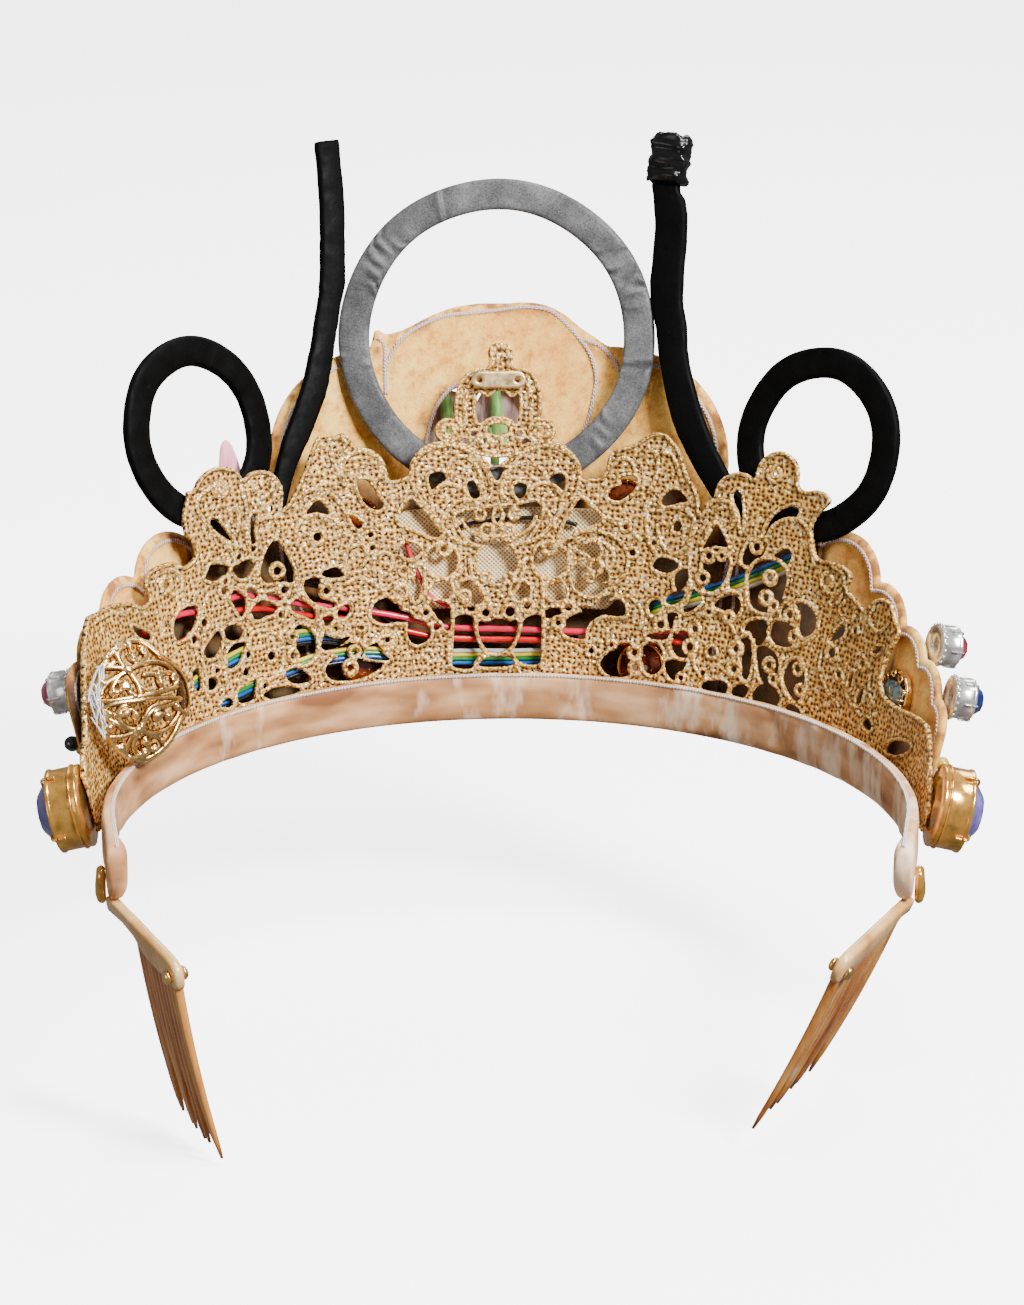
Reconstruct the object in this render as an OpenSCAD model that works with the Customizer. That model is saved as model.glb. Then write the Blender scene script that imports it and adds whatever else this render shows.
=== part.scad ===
// Diadem: a velvet headband carries a standing wall of gold lace, with wires, foam hoops and
// stones held between the lace and a lobed felt backing, and a hair comb at each end.
// Millimetres. +Z up from the band's lower edge, +Y the front of the head, origin at the
// centre of the head opening. Azimuths run from +Y towards +X.

/* [Headband] */
// Radius of the head opening, at the band's inner face
head_r = 71.5; // [66:0.5:78]
// Azimuth where each end of the band runs on straight
band_arc = 98; // [94:1:102]
// Length of the band's straight ends
tail_l = 17; // [14:0.5:20]
// Thickness of the padded velvet
band_t = 2.5; // [2:0.1:3]
// Height of the velvet band
band_h = 9.5; // [8:0.5:11]

/* [Lace] */
// Height of the centre palmette above the band's lower edge
lace_h = 56; // [52:1:60]
// Thickness of the corded lace
lace_t = 1.0; // [0.8:0.1:1.4]
// Outward lean of the lace wall
lace_lean = 13; // [11:0.5:15]
// Height of the lace's lower edge, behind the velvet
lace_foot = 2; // [1:0.5:4]
// Radius of a fan's scallops
lobe_r = 4.2; // [3.6:0.1:4.8]
// Width of a slot between two scallops
slot_w = 1.5; // [1:0.1:2]
// Diameter of the net's large eyes
eye_d = 5; // [4:0.2:5.6]

/* [Crown motif] */
// Outer radius of the lace loop above the palmette
loop_r = 8.2; // [7.4:0.1:8.8]
// Width of the loop's cord
loop_w = 3.1; // [2.4:0.1:3.6]
// Width of the tab on the loop
tab_w = 6; // [4:0.5:7]
// Length of the bare metal plate
plate_l = 11; // [9:0.5:12]
// Width of the bare metal plate
plate_w = 3.5; // [3:0.1:4]
// Thickness of the bare metal plate
plate_t = 0.8; // [0.5:0.1:1]
// Diameter of the plate's two holes
plate_hole = 1; // [0.6:0.1:1.4]

/* [Felt backing] */
// Thickness of the felt
felt_t = 1.6; // [1.2:0.1:2]
// Forward shift of the centre felt from the head's centre
felt_shift = 4.6; // [4.2:0.1:5.4]
// Forward shift of the side felts from the head's centre
side_shift = 6.2; // [5.8:0.1:6.6]
// Outward lean of the centre felt
felt_lean = 17.7; // [17.2:0.1:19]
// Radius of the felt's centre disc
felt_disc_r = 26; // [24:0.5:27]
// Radius of the opening behind the crown motif
felt_hole_r = 13; // [11:0.5:14]
// Height of the tallest side lobe
side_h = 46; // [42:1:48]
// Height of the sewn hem under the felt
hem_h = 1.6; // [1.2:0.1:2]

/* [Foam hoops] */
// Outer radius of the centre ring
ring_r = 31.5; // [30:0.5:33]
// Width of the centre ring's strip
ring_w = 6.2; // [5:0.2:7]
// Height of the centre ring's middle
ring_z = 72.2; // [71.5:0.1:75]
// Outer radius of the side rings
hoop_r = 19; // [17:0.5:20]
// Width of the side rings' strip
hoop_w = 6; // [5:0.2:7]
// Height of the left side ring's lowest point
hoop_foot_left = 41.1; // [39.5:0.1:43]
// Height of the right side ring's lowest point
hoop_foot_right = 39; // [38:0.1:42]
// Thickness of the foam
foam_t = 2.2; // [1.8:0.1:2.6]
// Length of the spires along their strip
spire_l = 72.5; // [68:0.5:78]
// Width of a spire at its foot
spire_w = 7; // [6:0.2:8]
// Height of a spire's foot
spire_foot = 41; // [39:0.5:44]
// Height of the crumpled tape on the right spire's tip
cap_h = 9.6; // [8:0.2:11]

/* [Wires] */
// Diameter of the thick insulated wires
wire_d = 1.3; // [1:0.1:1.4]
// Diameter of the thin wires
thin_d = 0.9; // [0.6:0.1:1.1]
// Width of a flat four-strand ribbon
ribbon_w = 3.4; // [3:0.1:3.8]
// Thickness of a flat ribbon
ribbon_t = 1.0; // [0.8:0.1:1.2]
// Thickness of the woven mesh pocket
mesh_t = 1; // [1:0.1:1.4]
// Height of the mesh pocket
mesh_h = 20; // [17:0.5:20.5]

/* [Stones] */
// Radius of the large gold side bezels
bezel_r = 7.8; // [7:0.1:8.4]
// Depth of the large gold side bezels
bezel_l = 6.6; // [6:0.1:8]
// Radius of the small silver cups
cup_r = 4.3; // [3.8:0.1:4.6]
// Depth of the small silver cups
cup_l = 4.4; // [3.6:0.2:5]
// Radius of the gold settings behind the lace
setting_r = 5; // [4.4:0.1:5.4]
// Depth of the gold settings behind the lace
setting_l = 2.4; // [2:0.1:2.6]
// Wall of every bezel, cup and setting
bezel_wall = 0.7; // [0.5:0.1:1]
// Radius of the domed filigree disc
disc_r = 12.2; // [11:0.2:13]
// Height of the filigree disc's dome
disc_dome = 5.5; // [4.5:0.1:6.5]
// Thickness of the filigree metal
disc_t = 1.1; // [0.9:0.1:1.4]
// Diameter of the round beads
bead_d = 3; // [2.4:0.1:3.4]

/* [Combs] */
// Reach of the left comb's spine beyond the band
reach_left = 38; // [32:1:44]
// Reach of the right comb's spine beyond the band
reach_right = 30; // [26:1:40]
// Height of a comb from its spine to its tips
comb_h = 38.5; // [32:0.5:42]
// Bare length of the left comb's spine beside the band
neck_left = 9; // [6:0.5:12]
// Bare length of the right comb's spine beside the band
neck_right = 2; // [1.5:0.5:6]
// Height of the spine
spine_h = 5.5; // [4:0.5:7]
// Thickness of the spine
spine_t = 2.2; // [1.8:0.1:2.6]
// Number of teeth on a comb
teeth = 10; // [8:1:12]
// Width of a tooth along the spine
tooth_w = 1.5; // [1.1:0.1:1.8]
// Inward tilt of the left comb
comb_tilt_left = 7; // [0:1:20]
// Inward tilt of the right comb
comb_tilt_right = 21; // [0:1:30]

/* [Hidden] */
$fn = 64;

// Clearance between neighbouring pieces
gap = 0.3;
// Clearance between a stone and its bezel
stone_gap = 0.12;
// Depth of the shapes that cut a wall
cut_depth = 16;

lace_r0 = head_r + band_t + gap;
lace_th = lace_t / cos(lace_lean);
felt_r0 = lace_r0 + lace_th + 0.5;
felt_th = felt_t / cos(felt_lean);
side_th = felt_t / cos(lace_lean);
wire_step = wire_d + gap;
hem_drop = 0.4;

// Radii of the walls' faces at a height
function lace_in(z) = lace_r0 + z * tan(lace_lean);
function lace_out(z) = lace_in(z) + lace_th;
function felt_in(z) = felt_r0 + z * tan(felt_lean);
function side_in(z) = felt_r0 + z * tan(lace_lean);

// Lace fans: azimuth, half width of the foot, height of the middle and radius as shares of
// the lace's height, number of scallops, spread of the scallops to each side
FAN_AZ = 0; FAN_HALF = 1; FAN_MID = 2; FAN_R = 3; FAN_N = 4; FAN_SPREAD = 5;
fans_left = [
    [-21.5, 13, 0.82, 0.12, 5, 80],
    [-39, 12, 0.765, 0.125, 5, 85],
    [-52.5, 10, 0.54, 0.09, 4, 75],
    [-65, 9, 0.49, 0.09, 4, 75],
    [-78, 12, 0.3, 0.06, 4, 85]];
fans_centre = [
    [-8.2, 11, 0.795, 0.135, 5, 75],
    [5.2, 11, 0.795, 0.135, 5, 75]];
fans_right = [
    [19, 13, 0.815, 0.13, 5, 80],
    [35.5, 12, 0.8, 0.135, 5, 85],
    [49, 10, 0.62, 0.1, 5, 75],
    [61, 10, 0.46, 0.09, 4, 75],
    [72.5, 9, 0.31, 0.07, 4, 75],
    [82, 9, 0.2, 0.05, 4, 85]];
// Where the three lace panels meet and end
lace_edges = [-88.5, -14.6, 12, 88.5];
lace_seam = 0.25;

// Rows of eyes in the net: height as a share of the lace's height, eye as a share of eye_d,
// spacing in degrees, reach to each side in degrees
net_rows = [
    [0.225, 0.56, 9.2, 82],
    [0.34, 0.96, 8.2, 74],
    [0.5, 0.84, 8.2, 54]];

// Centre felt lobes: azimuth, height as a share of the ring's height, radius as a share of
// the disc's radius
felt_lobes = [[-2.6, 0.723, 1], [-15.6, 0.642, 0.94], [12.4, 0.638, 0.94]];
// Opening behind the crown motif: azimuth, height as a share of the ring's height
felt_hole = [-2.7, 0.687];
// Side felt lobes: azimuth, height of the top as a share of side_h, half width in degrees
side_lobes_left = [
    [-41, 1, 6.5], [-51.5, 0.92, 6.5], [-61.5, 0.81, 6], [-70.5, 0.7, 6], [-78, 0.6, 5.5]];
side_lobes_right = [
    [40, 0.96, 7], [50, 0.91, 7], [58.5, 0.76, 6], [66, 0.64, 6], [73, 0.56, 6], [79, 0.46, 4.5]];
// Where the centre felt ends and where the side felts begin and end
felt_edges = [31, 32, 83.5];

// The centre ring stands on the lace wall at its lowest point
ring_lean = felt_lean;
ring_x = -2.7;
ring_low = ring_z - ring_r * cos(ring_lean);
ring_y = lace_out(ring_low) + gap + foam_t / 2 / cos(ring_lean);
function ring_plane_y(z) = ring_y + (z - ring_low) * tan(ring_lean);

// Side rings: azimuth of the middle, azimuth that the ring faces, height of the foot
hoop_left = [-41, -49, hoop_foot_left];
hoop_right = [40.8, 41, hoop_foot_right];
hoop_lean = 16;

// Spire sections: height (0 foot, 1 where it meets the ring, 2 tip), inner edge as a share
// of the way from foot to ring, width as a share of spire_w
spire_rows_left = [
    [0, 0, 0.34], [0.1, 0.1, 0.48], [0.21, 0.21, 0.62], [0.36, 0.42, 0.84], [0.55, 0.65, 0.84],
    [0.75, 0.8, 0.72], [0.93, 0.92, 0.66], [1, 0.98, 0.64], [1.27, 1.09, 0.62], [1.6, 1.18, 0.62],
    [2, 1.26, 0.64]];
spire_rows_right = [
    [0, -0.02, 1], [0.19, 0.31, 1.04], [0.41, 0.6, 1.04], [0.68, 0.8, 0.9], [0.84, 0.88, 0.9],
    [1, 0.96, 0.94], [1.4, 1.04, 0.98], [1.6, 1.09, 0.98], [1.7, 1.12, 0.82], [2, 1.12, 0.82]];
spire_az_left = -31;
spire_az_right = 28.5;
// Tape lumps: height and length as shares of cap_h, wall as a share of cap_wall, turn
cap_lumps = [[0, 0.42, 1, 0], [0.3, 0.45, 1.25, 7], [0.62, 0.38, 1.05, -5]];
cap_wall = 0.8;
// Direction from the ring's middle to where each spire meets it, from the horizontal
spire_meet = 17;

// Wire routes, chosen by hand: azimuth, height, layer behind the lace
route_red_upper = [
    [-58, 26.8, 0], [-51, 27.8, 0], [-45.5, 27.2, 0], [-40, 28.2, 0], [-36, 27, 0], [-30, 24.4, 0],
    [-23, 22.2, 0], [-14.5, 19.2, 0], [-9, 17, 0], [1.5, 16.3, 0], [13, 16.4, 0], [26, 18.2, 0]];
route_red_lower = [
    [-55, 21.6, 0], [-51, 22.6, 0], [-46, 24.2, 0], [-42, 25.6, 0], [-36, 24.8, 0], [-30, 22.2, 0],
    [-23, 20, 0], [-15.5, 17, 0], [-9, 14.9, 0], [1.5, 14.3, 0], [14, 14.5, 0], [26, 16.2, 0]];
route_black = [[-30, 28.4, 1], [-24, 25.4, 1], [-19.5, 21.6, 1], [-16, 17.4, 1], [-12, 15.2, 1],
    [-6, 14.4, 1], [0, 14.2, 1], [5, 14.2, 1], [9.5, 14.4, 1]];
route_thin_red = [[-14.3, 34, 0], [-13.6, 30.5, 0], [-12.6, 27, 0], [-11.4, 23.4, 0], [-8.8, 21, 0]];
route_thin_black = [[-8.5, 35.4, 0], [-5.5, 37, 0], [-2, 37.6, 0], [1.5, 38, 0], [5, 38, 0], [9, 37, 0]];
route_ribbon_left_upper = [
    [-51, 13.8, 0], [-46, 15.6, 0], [-41, 17, 0], [-35, 18, 0], [-29, 18, 0], [-25, 17, 0]];
route_ribbon_left_lower = [
    [-46, 9.4, 0], [-41, 10.4, 0], [-34, 12, 0], [-28, 13.2, 0], [-21, 13, 0], [-14, 11.4, 0]];
route_ribbon_long = [[-9.5, 10.8, 1], [-4, 10.6, 1], [2, 10.6, 1], [7, 11.2, 1], [12, 13.4, 1], [16, 17, 1],
    [20, 21, 1], [25.5, 24.2, 1], [32, 28.3, 1], [37, 32.2, 1], [40.5, 35, 1]];

// Gold settings on the felt's inner face: azimuth, height
settings = [[-21, 37], [15.5, 39.5], [-22, 9.6], [19.8, 9.2]];
// Depth of a small stone's girdle under its setting's rim
girdle_drop = 0.6;

// Where single pieces stand: azimuth, height
crown_az = -1.5;
crown_mid = lace_h * 1.11;
bezel_place = [88, 7];
pink_place = [-77.5, 22];
red_place = [70.9, 27.8];
blue_place = [79.4, 21.6];
green_place = [68, 17];
black_bead_place = [-81, 13.5];
yellow_left_place = [-78, 11];
yellow_right_place = [81, 9.5];
petal_place = [-37.6, side_h * 0.96];
// Filigree disc: azimuth, azimuth that it faces, height, distance outside the head opening
disc_place = [-72, -50, 20.5, 0.5];
// Green stems: azimuths, diameter, length as a share of the opening's radius
stem_az = [-7.7, -1.8];
stem_d = 2.6;
stem_l = 2.6;
petal_l = 15;
petal_w = 5.6;
petal_t = 1.8;
// Direction of the combs' spines, and how far each reaches back under the band
comb_az = 112;
comb_back = 3;
comb_in = 0.5;

// Places children on a wall: x along it, y outward, z up its slope
module on_wall(az, z, r, lean, shift = 0) {
    translate([0, shift, 0]) rotate([0, 0, -az]) translate([0, r, z]) rotate([-lean, 0, 0]) children();
}

// A flat drawing stood up in the wall's own plane and extruded through it
module stood(depth) {
    rotate([90, 0, 0]) linear_extrude(height = depth, center = true) children();
}

// A leaning wall between two heights and two azimuths
module wall(r0, t, lean, low, high, from, to) {
    k = tan(lean);
    rotate([0, 0, 90 - to]) rotate_extrude(angle = to - from)
        polygon([[r0 + low * k, low], [r0 + t + low * k, low],
            [r0 + t + high * k, high], [r0 + high * k, high]]);
}

// Outline of one scalloped fan, from its foot up
module fan_outline(fan) {
    mid = fan[FAN_MID] * lace_h;
    r = fan[FAN_R] * lace_h;
    reach = r + lobe_r * 0.6;
    polygon([[-fan[FAN_HALF], 0], [fan[FAN_HALF], 0], [reach, mid], [-reach, mid]]);
    translate([0, mid]) circle(r = r + lobe_r * 0.35);
    for (i = [0 : fan[FAN_N] - 1]) {
        a = fan[FAN_SPREAD] * (2 * i / (fan[FAN_N] - 1) - 1);
        translate([r * sin(a), mid + r * cos(a)]) circle(r = lobe_r);
    }
}

// Slots between the scallops of one fan
module fan_slots(fan) {
    mid = fan[FAN_MID] * lace_h;
    r = fan[FAN_R] * lace_h;
    step = 2 * fan[FAN_SPREAD] / (fan[FAN_N] - 1);
    for (i = [0 : fan[FAN_N] - 2]) {
        a = -fan[FAN_SPREAD] + step * (i + 0.5);
        translate([0, mid]) rotate(-a) {
            translate([0, r * 0.95]) circle(r = slot_w * 0.75);
            translate([-slot_w * 0.3, r * 0.35]) square([slot_w * 0.6, r * 0.6]);
        }
    }
}

module on_lace(az) {
    on_wall(az, 0, lace_r0, lace_lean) children();
}

module net_eyes(from, to) {
    margin = 3.4;
    for (row = net_rows) {
        count = floor(row[3] / row[2]);
        for (i = [-count : count]) {
            az = i * row[2];
            if (az > from + margin && az < to - margin)
                on_lace(az) translate([0, 0, row[0] * lace_h]) stood(cut_depth) circle(d = row[1] * eye_d);
        }
    }
}

module lace_panel(fans, from, to) {
    difference() {
        intersection() {
            wall(lace_r0, lace_th, lace_lean, lace_foot, lace_h * 1.1, from + lace_seam, to - lace_seam);
            union() for (fan = fans) on_lace(fan[FAN_AZ]) stood(cut_depth) fan_outline(fan);
        }
        for (fan = fans) on_lace(fan[FAN_AZ]) stood(cut_depth) fan_slots(fan);
        net_eyes(from, to);
    }
}

module lace_left() {
    color("darkkhaki") lace_panel(fans_left, lace_edges[0], lace_edges[1]);
}

module lace_centre() {
    color("darkkhaki") lace_panel(fans_centre, lace_edges[1], lace_edges[2]);
}

// The right panel leaves an opening for the green stone's setting
module lace_right() {
    color("darkkhaki") difference() {
        lace_panel(fans_right, lace_edges[2], lace_edges[3]);
        on_wall(green_place[0], green_place[1], side_in(green_place[1]), lace_lean, side_shift)
            stood(cut_depth) circle(r = setting_r + 2 * gap);
    }
}

// Crown motif: a loop with a tab, and two side scrolls
module crown_outline() {
    scroll_r = loop_r * 0.44;
    scroll = [loop_r * 1.1, -loop_r * 0.66];
    tab = loop_r + tab_w * 0.25;
    difference() {
        union() {
            circle(r = loop_r);
            translate([-tab_w / 2, 0]) square([tab_w, tab]);
            translate([0, tab]) circle(d = tab_w);
            for (side = [-1, 1]) translate([side * scroll[0], scroll[1]]) circle(r = scroll_r);
        }
        circle(r = loop_r - loop_w);
        for (side = [-1, 1]) translate([side * scroll[0], scroll[1]]) circle(r = scroll_r * 0.35);
        translate([0, tab]) circle(d = tab_w * 0.25);
    }
}

module lace_crown() {
    color("darkkhaki") difference() {
        intersection() {
            wall(lace_r0, lace_th, lace_lean, lace_h * 0.8, lace_h * 1.6, crown_az - 15, crown_az + 15);
            on_lace(crown_az) translate([0, 0, crown_mid]) stood(cut_depth) crown_outline();
        }
        for (fan = fans_centre) on_lace(fan[FAN_AZ]) stood(cut_depth) crown_clearance(fan);
    }
}

// The palmette's outline grown by the clearance between two lace pieces
module crown_clearance(fan) {
    mid = fan[FAN_MID] * lace_h;
    r = fan[FAN_R] * lace_h;
    translate([0, mid]) circle(r = r + lobe_r * 0.35 + gap);
    for (i = [0 : fan[FAN_N] - 1]) {
        a = fan[FAN_SPREAD] * (2 * i / (fan[FAN_N] - 1) - 1);
        translate([r * sin(a), mid + r * cos(a)]) circle(r = lobe_r + gap);
    }
}

module name_plate() {
    up = crown_mid + loop_r - plate_w;
    sag = lace_in(up) - sqrt(pow(lace_in(up), 2) - pow(plate_l / 2, 2));
    color("goldenrod") on_lace(crown_az) translate([0, -gap - sag - plate_t / 2, up]) stood(plate_t)
        difference() {
            union() {
                square([plate_l - plate_w, plate_w], center = true);
                for (side = [-1, 1]) translate([side * (plate_l - plate_w) / 2, 0]) circle(d = plate_w);
            }
            for (side = [-1, 1]) translate([side * (plate_l - plate_w) / 2, 0]) circle(d = plate_hole);
        }
}

// Woven metal pocket behind the thin wires, under the centre ring
module mesh_pocket() {
    top = ring_low - foam_t - gap;
    corner = 3;
    r0 = lace_r0 + lace_th + 2 * gap + wire_d;
    half = 21;
    color("khaki") intersection() {
        wall(r0, mesh_t / cos(lace_lean), lace_lean, top - mesh_h, top, -17, 16);
        on_wall(-0.5, 0, r0, lace_lean) stood(cut_depth) translate([0, top - mesh_h / 2 + 0.4])
            union() {
                square([2 * half, mesh_h - 2 * corner], center = true);
                square([2 * (half - corner), mesh_h * 1.2], center = true);
                for (sx = [-1, 1], sz = [-1, 1])
                    translate([sx * (half - corner), sz * (mesh_h / 2 - corner)]) circle(r = corner);
            }
    }
}

// Cross-section of the velvet band, rounded along its edges
module band_section() {
    edge = band_t * 0.4;
    translate([0, edge]) square([band_t, band_h - 2 * edge]);
    translate([edge, 0]) square([band_t - 2 * edge, band_h]);
    for (x = [edge, band_t - edge], z = [edge, band_h - edge]) translate([x, z]) circle(r = edge);
}

module headband() {
    color("rosybrown") union() {
        rotate([0, 0, 90 - band_arc]) rotate_extrude(angle = 2 * band_arc)
            translate([head_r, 0]) band_section();
        for (side = [0, 1]) mirror([side, 0, 0]) rotate([0, 0, -band_arc])
            rotate([90, 0, 90]) linear_extrude(height = tail_l) translate([head_r, 0]) band_section();
    }
}

// Hem that joins a felt panel's foot to the lace, between two azimuths
module hem(reach, shift, from, to) {
    low = lace_foot - hem_drop;
    difference() {
        translate([0, shift, 0]) rotate([0, 0, 90 - to]) rotate_extrude(angle = to - from)
            translate([head_r - shift, low]) square([reach - head_r + shift, hem_h]);
        translate([0, 0, low - 1]) cylinder(r = lace_out(low + hem_h) + gap, h = hem_h + 2);
    }
}

// Centre felt: three discs on a plain foot, with an opening behind the crown motif
module felt_centre() {
    half = felt_edges[0];
    low = lace_foot - hem_drop;
    slope = 1 / cos(felt_lean);
    color("burlywood") difference() {
        union() {
            intersection() {
                translate([0, felt_shift, 0])
                    wall(felt_r0, felt_th, felt_lean, low, ring_z * 1.2, -half, half);
                union() {
                    for (lobe = felt_lobes) on_wall(lobe[0], 0, felt_r0, felt_lean, felt_shift)
                        stood(cut_depth * 2) translate([0, lobe[1] * ring_z * slope])
                            circle(r = lobe[2] * felt_disc_r);
                    translate([0, 0, low]) cylinder(r = 2 * head_r, h = ring_z * 0.58);
                }
            }
            hem(felt_in(low) + felt_th * 0.9, felt_shift, -half, half);
        }
        on_wall(felt_hole[0], 0, felt_r0, felt_lean, felt_shift) stood(cut_depth * 2)
            translate([0, felt_hole[1] * ring_z * slope]) circle(r = felt_hole_r);
    }
}

// Side felt: a row of lobes that get lower towards the band's end
module felt_side(lobes, from, to) {
    low = lace_foot - hem_drop;
    slope = 1 / cos(lace_lean);
    color("burlywood") union() {
        intersection() {
            translate([0, side_shift, 0]) wall(felt_r0, side_th, lace_lean, low, side_h * 1.1, from, to);
            union() for (lobe = lobes) on_wall(lobe[0], 0, felt_r0, lace_lean, side_shift) stood(cut_depth) {
                half = lobe[2] * PI / 180 * side_in(side_h);
                top = lobe[1] * side_h * slope;
                translate([-half * 1.08, 0]) square([2.16 * half, top - half]);
                translate([0, top - half]) circle(r = half);
            }
        }
        hem(side_in(low) + side_th * 0.9, side_shift, from, to);
    }
}

module felt_left() {
    felt_side(side_lobes_left, -felt_edges[2], -felt_edges[1]);
}

module felt_right() {
    felt_side(side_lobes_right, felt_edges[1], felt_edges[2]);
}

// Flat foam ring
module foam_ring(r, w) {
    stood(foam_t) difference() {
        circle(r = r);
        circle(r = r - w);
    }
}

module ring_centre() {
    color("dimgray") translate([ring_x, ring_plane_y(ring_z), ring_z]) rotate([-ring_lean, 0, 0])
        foam_ring(ring_r, ring_w);
}

// A side ring stands on the lace wall at its lowest point
module hoop(place) {
    z = place[2] + hoop_r * cos(hoop_lean);
    turn = place[1] - place[0];
    twist = hoop_r * abs(sin(turn)) * 0.25;
    r = lace_out(place[2]) + gap + foam_t / 2 / cos(hoop_lean) + twist + hoop_r * sin(hoop_lean);
    color("black") rotate([0, 0, -place[0]]) translate([0, r, z]) rotate([0, 0, -turn])
        rotate([-hoop_lean, 0, 0]) foam_ring(hoop_r, hoop_w);
}

module ring_left() {
    hoop(hoop_left);
}

module ring_right() {
    hoop(hoop_right);
}

// A spire leans from the lace wall back to the centre ring's rim
spire_foot_r = lace_out(spire_foot) + gap + foam_t;
spire_rim = ring_r + gap;
spire_meet_z = ring_z + spire_rim * sin(spire_meet) * cos(ring_lean);
function spire_start(az) = [spire_foot_r * sin(az), spire_foot_r * cos(az), spire_foot];
function spire_way(side, az) = [ring_x + side * spire_rim * cos(spire_meet), ring_plane_y(spire_meet_z),
    spire_meet_z] - spire_start(az);
function spire_across(side, az) = spire_way(side, az) * [cos(az), -sin(az), 0];
function spire_lean(side, az) =
    atan(spire_way(side, az) * [sin(az), cos(az), 0] / (spire_meet_z - spire_foot));
function spire_slope(side, az) = (spire_meet_z - spire_foot) / cos(spire_lean(side, az));

module on_spire(side, az) {
    translate(spire_start(az)) rotate([0, 0, -az]) rotate([-spire_lean(side, az), 0, 0]) children();
}

module spire(side, az, rows) {
    across = spire_across(side, az);
    slope = spire_slope(side, az);
    up = [for (row = rows) row[0] <= 1 ? row[0] * slope : slope + (row[0] - 1) * (spire_l - slope)];
    inner = [for (i = [0 : len(rows) - 1]) [rows[i][1] * across, up[i]]];
    outer = [for (i = [len(rows) - 1 : -1 : 0]) [rows[i][1] * across + side * rows[i][2] * spire_w, up[i]]];
    on_spire(side, az) stood(foam_t) polygon(concat(inner, outer));
}

module spire_left() {
    color("black") spire(-1, spire_az_left, spire_rows_left);
}

module spire_right() {
    color("black") spire(1, spire_az_right, spire_rows_right);
}

// Crumpled tape over the right spire's tip: three turned lumps, hollow where the tip goes in
module spire_cap() {
    row = spire_rows_right[len(spire_rows_right) - 1];
    wide = row[2] * spire_w + 2 * gap;
    deep = foam_t + 2 * gap;
    side = 1;
    mid = row[1] * spire_across(side, spire_az_right) + side * row[2] * spire_w / 2;
    color("black") on_spire(side, spire_az_right) translate([mid, 0, spire_l + cap_wall - cap_h])
    difference() {
        union() {
            for (lump = cap_lumps) translate([0, 0, lump[0] * cap_h]) rotate([0, 0, lump[3]])
                linear_extrude(height = lump[1] * cap_h)
                    square([wide + 2 * cap_wall * lump[2], deep + 2 * cap_wall * lump[2]], center = true);
        }
        translate([-wide / 2, -deep / 2, -1]) cube([wide, deep, cap_h - cap_wall + gap + 1]);
    }
}

// Points between the chosen points of a route, on one smooth curve
function bend(p0, p1, p2, p3, t) = 0.5 * ((2 * p1) + (p2 - p0) * t
    + (2 * p0 - 5 * p1 + 4 * p2 - p3) * t * t + (3 * p1 - p0 - 3 * p2 + p3) * t * t * t);
function smooth(rows, steps) = let (n = len(rows)) [
    for (i = [0 : n - 2], s = [0 : steps - 1])
        bend(rows[max(i - 1, 0)], rows[i], rows[i + 1], rows[min(i + 2, n - 1)], s / steps),
    rows[n - 1]];
// A route row as a point in space, for a strand of a given thickness
function strand_point(row, t) = let (r = lace_out(row[1]) + gap + t / 2 + row[2] * wire_step)
    [r * sin(row[0]), r * cos(row[0]), row[1]];

// A strand along a route: its section is a list of [outward, across] offsets
module strand(route, t, section, steps) {
    rows = smooth(route, steps);
    p = [for (row = rows) strand_point(row, t)];
    n = len(p);
    m = len(section);
    out = [for (row = rows) [sin(row[0]), cos(row[0]), 0]];
    way = [for (i = [0 : n - 1]) let (d = p[min(i + 1, n - 1)] - p[max(i - 1, 0)]) d / norm(d)];
    side = [for (i = [0 : n - 1]) let (s = cross(way[i], out[i])) s / norm(s)];
    polyhedron(
        points = [for (i = [0 : n - 1], s = section) p[i] + s[0] * out[i] + s[1] * side[i]],
        faces = concat(
            [[for (j = [0 : m - 1]) j]],
            [for (i = [0 : n - 2], j = [0 : m - 1])
                [i * m + j, (i + 1) * m + j, (i + 1) * m + (j + 1) % m, i * m + (j + 1) % m]],
            [[for (j = [m - 1 : -1 : 0]) (n - 1) * m + j]]));
}

function round_section(d) = [for (i = [0 : 7]) [d / 2 * cos(i * 45), -d / 2 * sin(i * 45)]];
function flat_section(w, t) = [[t / 2, w / 2 - t / 3], [t / 2, t / 3 - w / 2], [t / 6, -w / 2],
    [-t / 6, -w / 2], [-t / 2, t / 3 - w / 2], [-t / 2, w / 2 - t / 3], [-t / 6, w / 2], [t / 6, w / 2]];

module wire(route, d) {
    strand(route, d, round_section(d), 3);
}

module ribbon(route) {
    strand(route, ribbon_t, flat_section(ribbon_w, ribbon_t), 3);
}

module wire_red_upper() {
    color("crimson") wire(route_red_upper, wire_d);
}

module wire_red_lower() {
    color("crimson") wire(route_red_lower, wire_d);
}

module wire_black() {
    color("black") wire(route_black, wire_d);
}

module wire_thin_red() {
    color("red") wire(route_thin_red, thin_d);
}

module wire_thin_black() {
    color("black") wire(route_thin_black, thin_d);
}

module ribbon_left_upper() {
    color("seagreen") ribbon(route_ribbon_left_upper);
}

module ribbon_left_lower() {
    color("seagreen") ribbon(route_ribbon_left_lower);
}

module ribbon_long() {
    color("seagreen") ribbon(route_ribbon_long);
}

// Round cup open outward, with a floor: local y points outward
module cup(r, depth) {
    floor_t = bezel_wall;
    rotate([-90, 0, 0]) difference() {
        cylinder(r = r, h = depth);
        translate([0, 0, floor_t]) cylinder(r = r - bezel_wall, h = depth);
    }
}

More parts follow.
